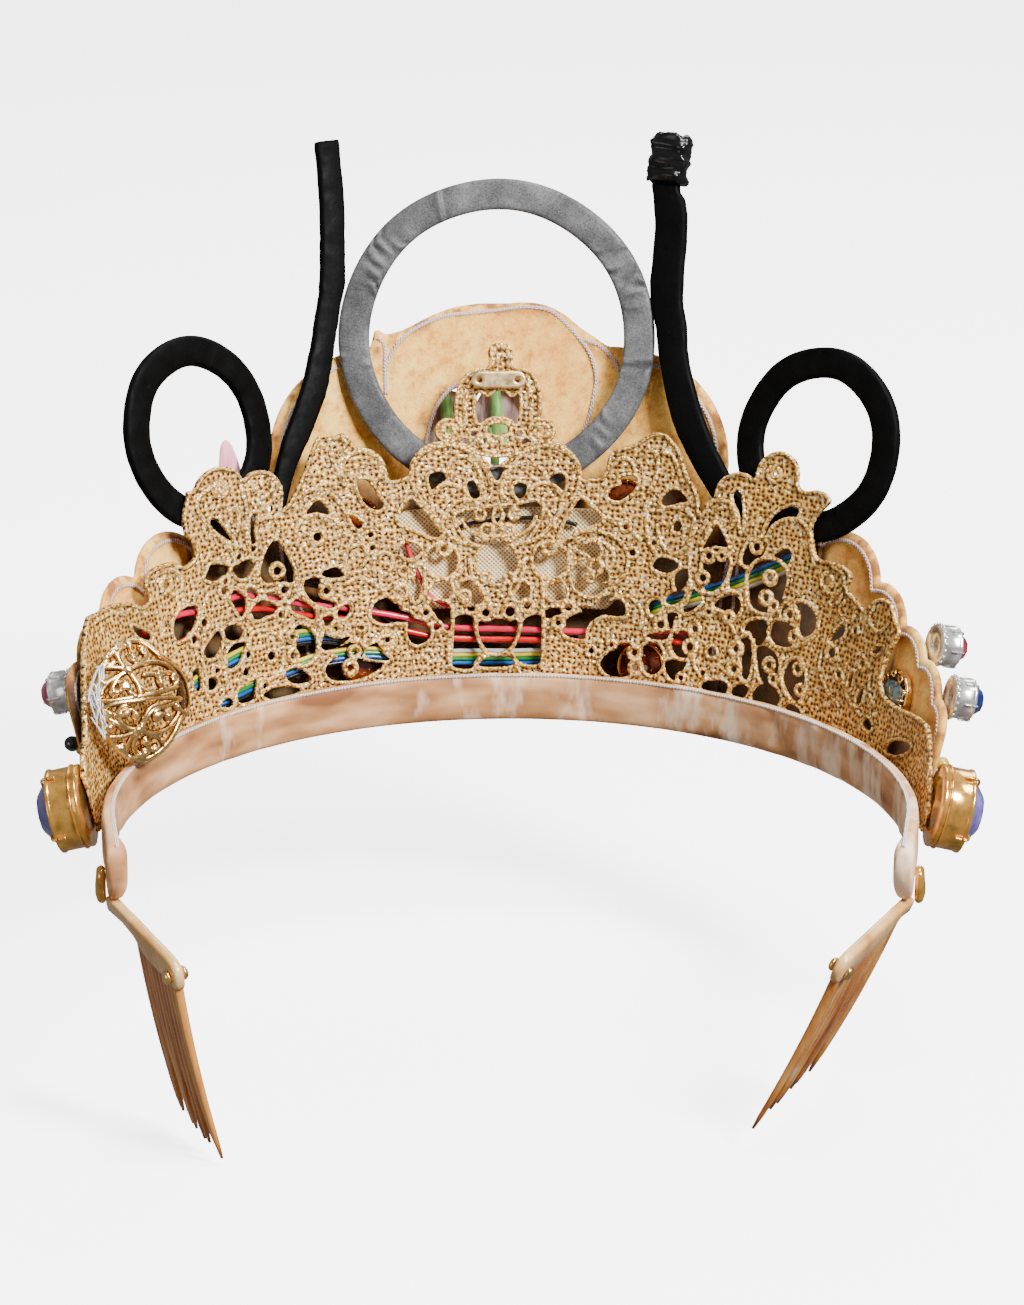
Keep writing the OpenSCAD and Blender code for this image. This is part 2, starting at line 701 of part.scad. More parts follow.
// Cut stone with a table, its girdle at the origin and local y outward
module cut_stone(r, crown, pavilion) {
    table = 0.55;
    girdle = 0.3;
    flat = 0.01;
    rotate([-90, 0, 0]) hull() {
        translate([0, 0, crown - flat]) cylinder(r = r * table, h = flat, $fn = 8);
        cylinder(r = r, h = girdle, $fn = 16);
        translate([0, 0, -pavilion]) cylinder(r = r * 0.3, h = flat, $fn = 8);
    }
}

// Large side bezels stand on the lace beside the band's ends
module on_bezel(side) {
    on_wall(side * bezel_place[0], bezel_place[1], lace_out(bezel_place[1]) + gap, lace_lean) children();
}

module bezel_left() {
    color("gold") on_bezel(-1) cup(bezel_r, bezel_l);
}

module bezel_right() {
    color("gold") on_bezel(1) cup(bezel_r, bezel_l);
}

module side_stone(side) {
    r = bezel_r - bezel_wall - stone_gap;
    drop = bezel_r * 0.06;
    on_bezel(side) translate([0, bezel_l - drop, 0]) cut_stone(r, r * 0.26, r * 0.5);
}

module violet_left() {
    color("mediumpurple") side_stone(-1);
}

module violet_right() {
    color("mediumpurple") side_stone(1);
}

// Small silver cups on the side felts' outer faces
module on_side_felt(place) {
    on_wall(place[0], place[1], side_in(place[1]) + side_th + gap, lace_lean, side_shift) children();
}

module small_stone() {
    r = cup_r - bezel_wall - stone_gap;
    translate([0, cup_l - girdle_drop, 0]) cut_stone(r, r * 0.4, r * 0.6);
}

module cup_pink() {
    color("silver") on_side_felt(pink_place) cup(cup_r, cup_l);
}

module cup_red() {
    color("silver") on_side_felt(red_place) cup(cup_r, cup_l);
}

module cup_blue() {
    color("silver") on_side_felt(blue_place) cup(cup_r, cup_l);
}

module gem_pink() {
    color("hotpink") on_side_felt(pink_place) small_stone();
}

module gem_red() {
    color("crimson") on_side_felt(red_place) small_stone();
}

module gem_blue() {
    color("royalblue") on_side_felt(blue_place) small_stone();
}

// Gold settings on the centre felt's inner face, open towards the lace
module on_felt_inside(place) {
    on_wall(place[0], place[1], felt_in(place[1]) - gap, felt_lean, felt_shift)
        rotate([0, 0, 180]) children();
}

module setting(place) {
    color("goldenrod") on_felt_inside(place) cup(setting_r, setting_l);
}

// Stone that fills a flat setting from its floor to just above its rim
module flat_stone() {
    r = setting_r - bezel_wall - stone_gap;
    translate([0, setting_l - girdle_drop, 0])
        cut_stone(r, r * 0.2, setting_l - girdle_drop - bezel_wall - stone_gap);
}

module amber(place) {
    color("darkorange") on_felt_inside(place) flat_stone();
}

module setting_1() {
    setting(settings[0]);
}

module setting_2() {
    setting(settings[1]);
}

module setting_3() {
    setting(settings[2]);
}

module setting_4() {
    setting(settings[3]);
}

module amber_1() {
    amber(settings[0]);
}

module amber_2() {
    amber(settings[1]);
}

module amber_3() {
    amber(settings[2]);
}

module amber_4() {
    amber(settings[3]);
}

// Green stone in a gold setting on the right felt, seen through the lace
module on_green() {
    on_wall(green_place[0], green_place[1], side_in(green_place[1]) - gap, lace_lean, side_shift)
        rotate([0, 0, 180]) children();
}

module openwork_green() {
    color("goldenrod") on_green() cup(setting_r, setting_l);
}

module gem_green() {
    color("darkseagreen") on_green() flat_stone();
}

// Domed disc of pierced metal, facing into the head opening
module disc_frame() {
    out = head_r + disc_place[3];
    translate([out * sin(disc_place[0]), out * cos(disc_place[0]), disc_place[2]])
        rotate([0, 0, -disc_place[1]]) rotate([-felt_lean, 0, 0]) rotate([90, 0, 0]) children();
}

// Openings of one half of the disc: a ring of petals round a small flower, and corner drops
module disc_openings() {
    flower = disc_r * 0.44;
    for (half = [0, 180]) rotate(half) translate([0, flower]) {
        for (i = [0 : 5]) rotate(i * 60 + 30) translate([0, disc_r * 0.2]) {
            circle(r = disc_r * 0.085);
            translate([0, disc_r * 0.07]) circle(r = disc_r * 0.06);
        }
        for (side = [-1, 1]) {
            translate([side * disc_r * 0.5, -disc_r * 0.16]) circle(r = disc_r * 0.13);
            translate([side * disc_r * 0.47, disc_r * 0.14]) circle(r = disc_r * 0.1);
        }
    }
}

module filigree_disc() {
    ball = (pow(disc_r, 2) + pow(disc_dome, 2)) / (2 * disc_dome);
    rim = 1.2;
    color("goldenrod") disc_frame() difference() {
        union() {
            intersection() {
                translate([0, 0, disc_dome - ball]) difference() {
                    sphere(r = ball);
                    sphere(r = ball - disc_t);
                }
                cylinder(r = disc_r, h = disc_dome + 1);
            }
            difference() {
                translate([0, 0, -disc_t]) cylinder(r = disc_r, h = disc_t * 1.4);
                translate([0, 0, -2 * disc_t]) cylinder(r = disc_r - rim, h = disc_t * 4);
            }
        }
        linear_extrude(height = disc_dome * 2) disc_openings();
    }
}

// Round beads at the felt's ends
module bead(place, d) {
    on_side_felt(place) translate([0, d / 2, 0]) sphere(d = d, $fn = 32);
}

module bead_black() {
    color("black") bead(black_bead_place, bead_d);
}

module bead_yellow_left() {
    color("gold") bead(yellow_left_place, bead_d * 0.9);
}

module bead_yellow_right() {
    color("gold") bead(yellow_right_place, bead_d * 0.9);
}

// Green stems outside the centre felt, seen through its opening
module stem(az) {
    mid = felt_hole[1] * ring_z;
    on_wall(az, mid, felt_in(mid) + felt_th + gap + stem_d / 2, felt_lean, felt_shift)
        cylinder(d = stem_d, h = felt_hole_r * stem_l, center = true);
}

module stem_left() {
    color("olivedrab") stem(stem_az[0]);
}

module stem_right() {
    color("olivedrab") stem(stem_az[1]);
}

// Pink petal standing on the left felt's outer face
module petal() {
    arc = (pow(petal_l, 2) + pow(petal_w, 2)) / (4 * petal_w);
    color("pink") on_side_felt(petal_place) translate([0, petal_t / 2, petal_l * 0.3]) stood(petal_t)
        intersection_for(side = [-1, 1]) translate([side * (arc - petal_w / 2), 0]) circle(r = arc);
}

// End of the band: x along it, y outward from its middle, z up
module on_tail(side) {
    mirror([side < 0 ? 1 : 0, 0, 0]) rotate([0, 0, -band_arc])
        translate([tail_l, head_r + band_t / 2, 0]) children();
}

// Comb at one end of the band, x along its spine
module on_comb(side, tilt) {
    on_tail(side) translate([0, -comb_in, -gap - spine_t / 2 * sin(tilt)])
        rotate([0, 0, band_arc - comb_az]) rotate([-tilt, 0, 0]) children();
}

module comb_body(reach, neck) {
    tip_w = 0.9;
    tip_l = 0.8;
    curl = comb_h * 0.075;
    foot = spine_h * 0.7;
    neck_h = spine_h * 0.5;
    start = neck - spine_t / 2;
    end = reach - spine_t / 2;
    pitch = (end - start - tooth_w) / (teeth - 1);
    root = spine_t * 0.4;
    waist = spine_t * 0.42;
    bow = curl * 0.2;
    translate([-comb_back, -spine_t / 2, -neck_h]) cube([comb_back + neck, spine_t, neck_h]);
    translate([start, -spine_t / 2, -spine_h]) cube([end - start, spine_t, spine_h]);
    for (x = [start, end]) translate([x, 0, -spine_h]) cylinder(r = spine_t / 2, h = spine_h);
    for (i = [0 : teeth - 1]) translate([start + tooth_w / 2 + i * pitch, 0, 0])
        rotate([90, 0, 90]) linear_extrude(height = tooth_w, center = true)
            polygon([[-root, -foot], [root, -foot], [waist - bow, -comb_h * 0.5],
                [tip_w / 2 - curl, tip_l - comb_h], [-curl, -comb_h], [-tip_w / 2 - curl, tip_l - comb_h],
                [-waist - bow, -comb_h * 0.5]]);
}

module comb_left() {
    color("tan") on_comb(-1, comb_tilt_left) comb_body(reach_left, neck_left);
}

module comb_right() {
    color("tan") on_comb(1, comb_tilt_right) comb_body(reach_right, neck_right);
}

// Round rivet on the inner face of a comb's free end
module rivet(side, tilt, reach) {
    r = 1.3;
    color("gold") on_comb(side, tilt)
        translate([reach - 2 * spine_t, -spine_t / 2 - gap - r, -spine_h * 0.6]) sphere(r = r, $fn = 32);
}

module rivet_left() {
    rivet(-1, comb_tilt_left, reach_left);
}

module rivet_right() {
    rivet(1, comb_tilt_right, reach_right);
}

// Gold clasp plate outside the band's end
module clasp(side) {
    w = 4;
    h = 7;
    thick = 1;
    color("gold") on_tail(side) translate([-w, band_t / 2 + gap + thick / 2, band_h * 0.15]) stood(thick) {
        square([w, h - w], center = true);
        for (end = [-1, 1]) translate([0, end * (h - w) / 2]) circle(d = w);
    }
}

module clasp_left() {
    clasp(-1);
}

module clasp_right() {
    clasp(1);
}

headband();
lace_left();
lace_centre();
lace_right();
lace_crown();
name_plate();
mesh_pocket();
felt_centre();
felt_left();
felt_right();
ring_centre();
ring_left();
ring_right();
spire_left();
spire_right();
spire_cap();
wire_red_upper();
wire_red_lower();
wire_black();
wire_thin_red();
wire_thin_black();
ribbon_left_upper();
ribbon_left_lower();
ribbon_long();
filigree_disc();
setting_1();
setting_2();
setting_3();
setting_4();
amber_1();
amber_2();
amber_3();
amber_4();
bezel_left();
bezel_right();
violet_left();
violet_right();
cup_pink();
cup_red();
cup_blue();
gem_pink();
gem_red();
gem_blue();
openwork_green();
gem_green();
bead_black();
bead_yellow_left();
bead_yellow_right();
stem_left();
stem_right();
petal();
comb_left();
comb_right();
rivet_left();
rivet_right();
clasp_left();
clasp_right();
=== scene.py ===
"""Looks of the diadem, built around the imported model. Metres; +Z up, +Y the front of the head."""

import math
import random

import bmesh
import bpy
import numpy as np
from mathutils import Matrix, Vector


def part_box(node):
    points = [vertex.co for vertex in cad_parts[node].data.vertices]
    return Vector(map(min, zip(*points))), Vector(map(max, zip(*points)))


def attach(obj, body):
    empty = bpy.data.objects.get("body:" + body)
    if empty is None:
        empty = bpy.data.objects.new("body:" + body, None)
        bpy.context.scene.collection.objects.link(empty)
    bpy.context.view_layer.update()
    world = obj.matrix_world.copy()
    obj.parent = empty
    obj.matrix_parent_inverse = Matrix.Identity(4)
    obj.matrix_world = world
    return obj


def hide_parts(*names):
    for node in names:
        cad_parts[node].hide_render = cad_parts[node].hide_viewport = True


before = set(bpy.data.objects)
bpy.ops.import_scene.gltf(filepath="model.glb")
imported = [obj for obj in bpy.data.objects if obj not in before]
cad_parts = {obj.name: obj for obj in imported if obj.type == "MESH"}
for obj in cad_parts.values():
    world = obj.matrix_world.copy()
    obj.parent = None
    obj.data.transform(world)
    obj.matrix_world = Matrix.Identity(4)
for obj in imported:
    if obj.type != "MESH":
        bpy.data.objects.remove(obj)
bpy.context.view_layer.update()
MM = 0.001
rng = random.Random(7)

# Camera of the photograph, and rays through its pixels
PHOTO_W, PHOTO_H = 1024, 1305
CAM_ELEVATION = math.radians(17.7)
CAM_DISTANCE = 750.0
CAM_TARGET = np.array([0.3, 0.0, 37.0])
CAM_FOCUS_PX = 4177.5
CAM_AHEAD = np.array([0.0, math.cos(CAM_ELEVATION), -math.sin(CAM_ELEVATION)])
CAM_UP = np.array([0.0, math.sin(CAM_ELEVATION), math.cos(CAM_ELEVATION)])
CAM_PLACE = CAM_TARGET - CAM_AHEAD * CAM_DISTANCE

# Sizes shared with part.scad, in millimetres and degrees
HEAD_R, BAND_T, BAND_H, BAND_ARC, TAIL_L = 71.5, 2.5, 9.5, 98.0, 17.0
GAP = 0.3
LACE_R0, LACE_T, LACE_LEAN, LACE_FOOT = 74.3, 1.0, 13.0, 2.0
LACE_EDGES = (-88.5, -14.6, 12.0, 88.5)
FELT_R0, FELT_T, FELT_LEAN, FELT_SHIFT = 75.83, 1.6, 17.7, 4.6
SIDE_LEAN, SIDE_SHIFT, SIDE_H = 13.0, 6.2, 46.0
RING_R, RING_W, RING_Z, RING_X, FOAM_T = 31.5, 6.2, 72.2, -2.7, 2.2
HOOP_R, HOOP_W, HOOP_LEAN = 19.0, 6.0, 16.0
WIRE_D, THIN_D = 1.3, 0.9


def rad(a):
    return math.radians(a)


def pixel_ray(x, y):
    """Direction of the ray through a pixel of the photograph."""
    across = np.array([1.0, 0, 0]) * (x - PHOTO_W / 2) / CAM_FOCUS_PX
    return CAM_AHEAD + across + CAM_UP * (PHOTO_H / 2 - y) / CAM_FOCUS_PX


class Wall:
    """A leaning wall round the head: flat coordinates are arc length at radius ref and slope height."""

    def __init__(self, r0, lean, shift=0.0, ref=80.0):
        self.r0, self.lean, self.shift, self.ref = r0, rad(lean), shift, ref
        self.k = math.tan(self.lean)

    def flat(self, az, z):
        """Flat coordinates of an azimuth and a height."""
        return np.array([rad(az) * self.ref, z / math.cos(self.lean)])

    def px(self, x, y):
        """Flat coordinates of the wall's far side where a pixel's ray meets it."""
        d = pixel_ray(x, y)
        c = CAM_PLACE - np.array([0, self.shift, 0])
        q = self.r0 + self.k * c[2]
        a = d[0] ** 2 + d[1] ** 2 - (self.k * d[2]) ** 2
        b = c[0] * d[0] + c[1] * d[1] - self.k * d[2] * q
        e = c[0] ** 2 + c[1] ** 2 - q * q
        t = (-b + math.sqrt(max(b * b - a * e, 0))) / a
        p = c + t * d
        return self.flat(math.degrees(math.atan2(p[0], p[1])), p[2])

    def path(self, points):
        """Flat coordinates of a list of pixels."""
        return [self.px(*p) for p in points]

    def point(self, uv, out):
        """Points in space, millimetres, for arrays of flat coordinates and of distances outward."""
        uv = np.asarray(uv, float)
        az = uv[:, 0] / self.ref
        z = uv[:, 1] * math.cos(self.lean) - out * math.sin(self.lean)
        r = self.r0 + uv[:, 1] * math.sin(self.lean) + out * math.cos(self.lean)
        return np.stack([r * np.sin(az), r * np.cos(az) + self.shift, z], 1)


def spline(points, closed=False, steps=5):
    """A smooth curve through the points."""
    p = [np.asarray(q, float) for q in points]
    n = len(p)
    out = []
    for i in range(n if closed else n - 1):
        if closed:
            a, b, c, d = p[i - 1], p[i], p[(i + 1) % n], p[(i + 2) % n]
        else:
            a, b, c, d = p[max(i - 1, 0)], p[i], p[i + 1], p[min(i + 2, n - 1)]
        for s in range(steps):
            t = s / steps
            out.append(0.5 * (2 * b + (c - a) * t + (2 * a - 5 * b + 4 * c - d) * t * t
                              + (3 * b - a - 3 * c + d) * t ** 3))
    if not closed:
        out.append(p[-1])
    return out


REACH = 2.2     # fields of distances stop growing this far from their lines


class Field:
    """Distances on a flat grid, in millimetres."""

    def __init__(self, x0, x1, y0, y1, cell):
        self.cell = cell
        self.x = np.arange(x0, x1 + cell, cell)
        self.y = np.arange(y0, y1 + cell, cell)
        self.X, self.Y = np.meshgrid(self.x, self.y)

    def window(self, lo, hi):
        """The part of the grid between two corners."""
        i0, i1 = np.searchsorted(self.x, [lo[0], hi[0]])
        j0, j1 = np.searchsorted(self.y, [lo[1], hi[1]])
        return slice(j0, j1), slice(i0, i1)

    def full(self, value):
        return np.full(self.X.shape, float(value))

    def line(self, d, path, closed=False, reach=REACH):
        """Lowers d to the distance from a path, within reach of it."""
        pts = list(path) + (list(path[:1]) if closed else [])
        for a, b in zip(pts[:-1], pts[1:]):
            a, b = np.asarray(a, float), np.asarray(b, float)
            w = self.window(np.minimum(a, b) - reach, np.maximum(a, b) + reach)
            x, y = self.X[w] - a[0], self.Y[w] - a[1]
            e = b - a
            t = np.clip((x * e[0] + y * e[1]) / (e @ e + 1e-9), 0, 1)
            np.minimum(d[w], np.hypot(x - t * e[0], y - t * e[1]), out=d[w])

    def inside(self, path):
        """Whether each grid point is inside a closed path."""
        p = np.asarray(path, float)
        w = self.window(p.min(0), p.max(0))
        x, y = self.X[w], self.Y[w]
        odd = np.zeros(x.shape, bool)
        q = np.roll(p, -1, 0)
        for (x0, y0), (x1, y1) in zip(p, q):
            if y0 == y1:
                continue
            cross = (y0 > y) != (y1 > y)
            odd ^= cross & (x < (x1 - x0) * (y - y0) / (y1 - y0) + x0)
        full = np.zeros(self.X.shape, bool)
        full[w] = odd
        return full

    def signed(self, path, reach=REACH):
        """Distance to a closed path, negative inside."""
        d = self.full(reach)
        self.line(d, path, closed=True, reach=reach)
        return np.where(self.inside(path), -d, d)

    def disc(self, c, r):
        """Distance to a circle, negative inside."""
        return np.hypot(self.X - c[0], self.Y - c[1]) - r

    def value(self, a, xy):
        """Values of the field a between its grid points."""
        fx = np.clip((xy[:, 0] - self.x[0]) / self.cell, 0, len(self.x) - 1.001)
        fy = np.clip((xy[:, 1] - self.y[0]) / self.cell, 0, len(self.y) - 1.001)
        i, j = fx.astype(int), fy.astype(int)
        s, t = fx - i, fy - j
        return (a[j, i] * (1 - s) * (1 - t) + a[j, i + 1] * s * (1 - t)
                + a[j + 1, i] * (1 - s) * t + a[j + 1, i + 1] * s * t)

    def sheet(self, f):
        """Triangles where f is positive: flat points, whether on the edge, triangles, grid numbers."""
        least = 0.08 * self.cell
        f = np.where(np.abs(f) < least, least * np.where(f >= 0, 1, -1), f)
        ny, nx = f.shape
        ids = np.arange(ny * nx).reshape(ny, nx)
        a, b = ids[:-1, :-1].ravel(), ids[:-1, 1:].ravel()
        c, d = ids[1:, 1:].ravel(), ids[1:, :-1].ravel()
        tris = np.concatenate([np.stack([a, b, c], 1), np.stack([a, c, d], 1)])
        val = f.ravel()
        pos = val[tris] > 0
        count = pos.sum(1)
        xy = np.stack([self.X.ravel(), self.Y.ravel()], 1)
        whole = tris[count == 3]
        one, two = tris[count == 1], tris[count == 2]
        one = one[np.arange(len(one))[:, None], (np.argmax(val[one] > 0, 1)[:, None] + [0, 1, 2]) % 3]
        two = two[np.arange(len(two))[:, None], (np.argmax(val[two] <= 0, 1)[:, None] + [0, 1, 2]) % 3]
        total = ny * nx

        def edge(p, q):
            return np.minimum(p, q).astype(np.int64) * total + np.maximum(p, q)

        e1, e2 = edge(one[:, 0], one[:, 1]), edge(one[:, 0], one[:, 2])
        e3, e4 = edge(two[:, 0], two[:, 1]), edge(two[:, 0], two[:, 2])
        keys, inverse = np.unique(np.concatenate([e1, e2, e3, e4]), return_inverse=True)
        n1, n2 = len(e1), len(e3)
        e1, e2 = inverse[:n1] + total, inverse[n1:2 * n1] + total
        e3, e4 = inverse[2 * n1:2 * n1 + n2] + total, inverse[2 * n1 + n2:] + total
        p, q = keys // total, keys % total
        t = (val[p] / (val[p] - val[q]))[:, None]
        xy = np.concatenate([xy, xy[p] * (1 - t) + xy[q] * t])
        faces = np.concatenate([whole, np.stack([one[:, 0], e1, e2], 1),
                                np.stack([e3, two[:, 1], two[:, 2]], 1), np.stack([e3, two[:, 2], e4], 1)])
        used = np.unique(faces)
        remap = np.full(len(xy), -1)
        remap[used] = np.arange(len(used))
        return xy[used], used >= total, remap[faces], used


def edges_of(faces):
    """Closed loops of point numbers round a triangle sheet."""
    e = np.concatenate([faces[:, [0, 1]], faces[:, [1, 2]], faces[:, [2, 0]]])
    key = {(int(a), int(b)) for a, b in e}
    after = {a: b for a, b in key if (b, a) not in key}
    loops = []
    while after:
        start, here = next(iter(after.items()))
        loop = [start]
        del after[start]
        while here != start and here in after:
            loop.append(here)
            here = after.pop(here)
        loops.append(loop)
    return loops


def mesh_object(name, verts_mm, faces, mats, smooth=True, mat_index=None, attrs=None):
    """A mesh in the scene, from points in millimetres."""
    me = bpy.data.meshes.new(name)
    v = np.asarray(verts_mm, np.float32) * MM
    if isinstance(faces, np.ndarray):
        me.vertices.add(len(v))
        me.vertices.foreach_set("co", v.ravel())
        me.loops.add(faces.size)
        me.loops.foreach_set("vertex_index", faces.astype(np.int32).ravel())
        me.polygons.add(len(faces))
        me.polygons.foreach_set("loop_start", np.arange(0, faces.size, faces.shape[1], dtype=np.int32))
    else:
        me.from_pydata([tuple(p) for p in v], [], faces)
    for m in mats:
        me.materials.append(m)
    if mat_index is not None:
        me.polygons.foreach_set("material_index", np.asarray(mat_index, np.int32))
    me.polygons.foreach_set("use_smooth", np.full(len(me.polygons), smooth))
    for key, values in (attrs or {}).items():
        me.attributes.new(key, "FLOAT", "POINT").data.foreach_set("value", np.asarray(values, np.float32))
    me.validate()
    me.update()
    o = bpy.data.objects.new(name, me)
    bpy.context.scene.collection.objects.link(o)
    return o


def place(o, cad=None, slot=None):
    """Puts a piece on the body, in place of a node of the solids; slot is not used."""
    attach(o, "root")
    if cad:
        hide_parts(cad)
    return o


def declare(o, area, xy, rests_on, **more):
    """Works out a cloth's flat width and height in metres, from flat points in millimetres, and does nothing
    with them; area is not used.
    """
    wide, tall = np.ptp(xy, 0) * MM


def double_sheet(name, field, f, wall, mid, top, bottom, mats, attrs=None):
    """A closed sheet on a wall: top is its thickness inward from mid, bottom outward, as fields.

    Gives the piece, its area and its flat points. The attribute shade stays off the outer side.
    """
    xy, on_edge, faces, used = field.sheet(f)
    n = len(xy)
    inner = np.nonzero(~on_edge)[0]
    inward = np.zeros(n)
    inward[inner] = top.ravel()[used[inner]]
    outward = bottom.ravel()[used[inner]]
    back = np.arange(n)
    back[inner] = n + np.arange(len(inner))
    pts = np.concatenate([wall.point(xy, mid - inward), wall.point(xy[inner], mid + outward)])
    both = np.concatenate([faces, back[faces][:, ::-1]])
    packed = {}
    for key, a in (attrs or {}).items():
        s = field.value(a, xy)
        packed[key] = np.concatenate([s, s[inner] * (key != "shade")])
    o = mesh_object(name, pts, both, mats, attrs=packed)
    tri = xy[faces]
    u, v = tri[:, 1] - tri[:, 0], tri[:, 2] - tri[:, 0]
    area = float(np.abs(u[:, 0] * v[:, 1] - u[:, 1] * v[:, 0]).sum() / 2)
    return o, area, xy


def soft_square(sides, power_x, power_y):
    """Points round a square of half width 1; the smaller the powers, the sharper its corners."""
    a = np.arange(sides) * 2 * math.pi / sides
    x, y = np.cos(a), np.sin(a)
    return np.sign(x) * np.abs(x) ** power_x, np.sign(y) * np.abs(y) ** power_y


def skin(rows, sides, closed=False, caps=True, flip=False):
    """Faces over rows of points, each row a ring with this number of sides."""
    faces = []
    for i in range(rows if closed else rows - 1):
        here, there = i * sides, (i + 1) % rows * sides
        for k in range(sides):
            after = (k + 1) % sides
            a, b, c, d = here + k, here + after, there + after, there + k
            faces.append((a, d, c, b) if flip else (a, b, c, d))
    if caps and not closed:
        first, last = tuple(range(sides)), tuple(range((rows - 1) * sides, rows * sides))
        faces += [first, last[::-1]] if flip else [first[::-1], last]
    return faces


class Merge:
    """Gathers parts of one piece."""

    def __init__(self):
        self.v, self.f, self.m, self.n = [], [], [], 0

    def add(self, verts, faces, mat=0):
        verts = np.asarray(verts, float)
        self.f += [tuple(int(i) + self.n for i in f) for f in faces]
        self.m += [mat] * len(faces)
        self.v.append(verts)
        self.n += len(verts)

    def tube(self, path, radius, sides=8, mat=0, closed=False, out=None):
        """A tube along a path; radius is a number or one per point, out the way its first side faces."""
        p = np.asarray(path, float)
        n = len(p)
        r = np.full(n, radius) if np.isscalar(radius) else np.asarray(radius, float)
        way = np.roll(p, -1, 0) - np.roll(p, 1, 0) if closed else np.gradient(p, axis=0)
        way /= np.linalg.norm(way, axis=1)[:, None] + 1e-12
        ref = np.asarray(out, float) if out is not None else None
        if ref is None:
            ref = np.tile([0.0, 0.0, 1.0], (n, 1))
            ref[np.abs(way[:, 2]) > 0.9] = [1.0, 0, 0]
            if (np.abs(way[:, 2]) > 0.9).any():
                ref[:] = [0.31, 0.88, 0.36]
        elif ref.ndim == 1:
            ref = np.tile(ref, (n, 1))
        side = np.cross(way, ref)
        side /= np.linalg.norm(side, axis=1)[:, None] + 1e-12
        up = np.cross(side, way)
        a = np.arange(sides) * 2 * math.pi / sides
        ring = (np.cos(a)[None, :, None] * up[:, None, :]
                + np.sin(a)[None, :, None] * side[:, None, :]) * r[:, None, None]
        verts = (p[:, None, :] + ring).reshape(-1, 3)
        self.add(verts, skin(n, sides, closed), mat)

    def ball(self, c, r, rings=6, sides=10, squash=1.0, axis=None):
        """A ball round c, squash times as long along its axis as across."""
        verts = []
        for i in range(rings + 1):
            th = math.pi * i / rings
            for j in range(sides):
                a = 2 * math.pi * j / sides
                verts.append([math.sin(th) * math.cos(a), math.sin(th) * math.sin(a), math.cos(th) * squash])
        verts = np.array(verts) * r
        if axis is not None:
            q = Vector((0, 0, 1)).rotation_difference(Vector(axis))
            verts = verts @ np.array(q.to_matrix()).T
        self.add(verts + np.asarray(c, float), skin(rings + 1, sides, caps=False, flip=True))

    def make(self, name, mats, smooth=True, weld=True):
        """The piece in the scene."""
        o = mesh_object(name, np.concatenate(self.v), self.f, mats, smooth, self.m)
        if weld:
            bm = bmesh.new()
            bm.from_mesh(o.data)
            bmesh.ops.remove_doubles(bm, verts=bm.verts, dist=1e-6)
            bmesh.ops.recalc_face_normals(bm, faces=bm.faces)
            bm.to_mesh(o.data)
            bm.free()
        return o


# Looks
def new_look(name, color, rough=0.5, metal=0.0, **sockets):
    """A material, its node tree and its shader; sockets are named with _ for each space."""
    m = bpy.data.materials.new(name)
    m.use_nodes = True
    nt = m.node_tree
    b = nt.nodes["Principled BSDF"]
    b.inputs["Base Color"].default_value = (*color, 1)
    b.inputs["Roughness"].default_value = rough
    b.inputs["Metallic"].default_value = metal
    for key, value in sockets.items():
        b.inputs[key.replace("_", " ")].default_value = value
    m.diffuse_color = (*color, 1)
    return m, nt, b


def node(nt, kind, **inputs):
    """A node whose inputs and settings are given by name, as numbers or as sockets to link."""
    n = nt.nodes.new(kind)
    for key, value in inputs.items():
        if key in n.inputs:
            if isinstance(value, bpy.types.NodeSocket):
                nt.links.new(value, n.inputs[key])
            else:
                n.inputs[key].default_value = value
        else:
            setattr(n, key, value)
    return n


def coords(nt):
    return node(nt, "ShaderNodeTexCoord").outputs["Object"]


def stretched(nt, v, scale):
    """Coordinates, each times its own number."""
    return node(nt, "ShaderNodeMapping", Vector=v, Scale=scale).outputs[0]


def maths(nt, operation, *values):
    """The result of a math node on sockets and numbers."""
    n = node(nt, "ShaderNodeMath", operation=operation)
    for sock, value in zip(n.inputs, values):
        if isinstance(value, bpy.types.NodeSocket):
            nt.links.new(value, sock)
        else:
            sock.default_value = value
    return n.outputs[0]


def noise(nt, scale, detail=2.0, rough=0.5, vector=None):
    n = node(nt, "ShaderNodeTexNoise", Scale=scale, Detail=detail, Roughness=rough)
    nt.links.new(vector or coords(nt), n.inputs["Vector"])
    return n.outputs["Fac"]


def cells(nt, scale, vector, out="Distance"):
    return node(nt, "ShaderNodeTexVoronoi", Scale=scale, Vector=vector).outputs[out]


def ramp(nt, fac, stops):
    """Colour by a factor; a stop is a position and a colour or a one-number grey."""
    n = node(nt, "ShaderNodeValToRGB")
    nt.links.new(fac, n.inputs["Fac"])
    e = n.color_ramp.elements
    while len(e) < len(stops):
        e.new(0.5)
    for item, (pos, col) in zip(e, stops):
        item.position = pos
        item.color = (*col, 1) if len(col) == 3 else (col[0],) * 3 + (1,)
    return n.outputs["Color"]


def mix(nt, a, b, fac, how="MIX"):
    """Two colours mixed by a factor, each of the three a socket or a value."""
    n = node(nt, "ShaderNodeMix", data_type="RGBA", blend_type=how)
    for sock, value in ((n.inputs[0], fac), (n.inputs[6], a), (n.inputs[7], b)):
        if isinstance(value, bpy.types.NodeSocket):
            nt.links.new(value, sock)
        elif hasattr(value, "__len__"):
            sock.default_value = (*value, 1)
        else:
            sock.default_value = value
    return n.outputs[2]


def attribute(nt, name):
    return node(nt, "ShaderNodeAttribute", attribute_name=name).outputs["Fac"]


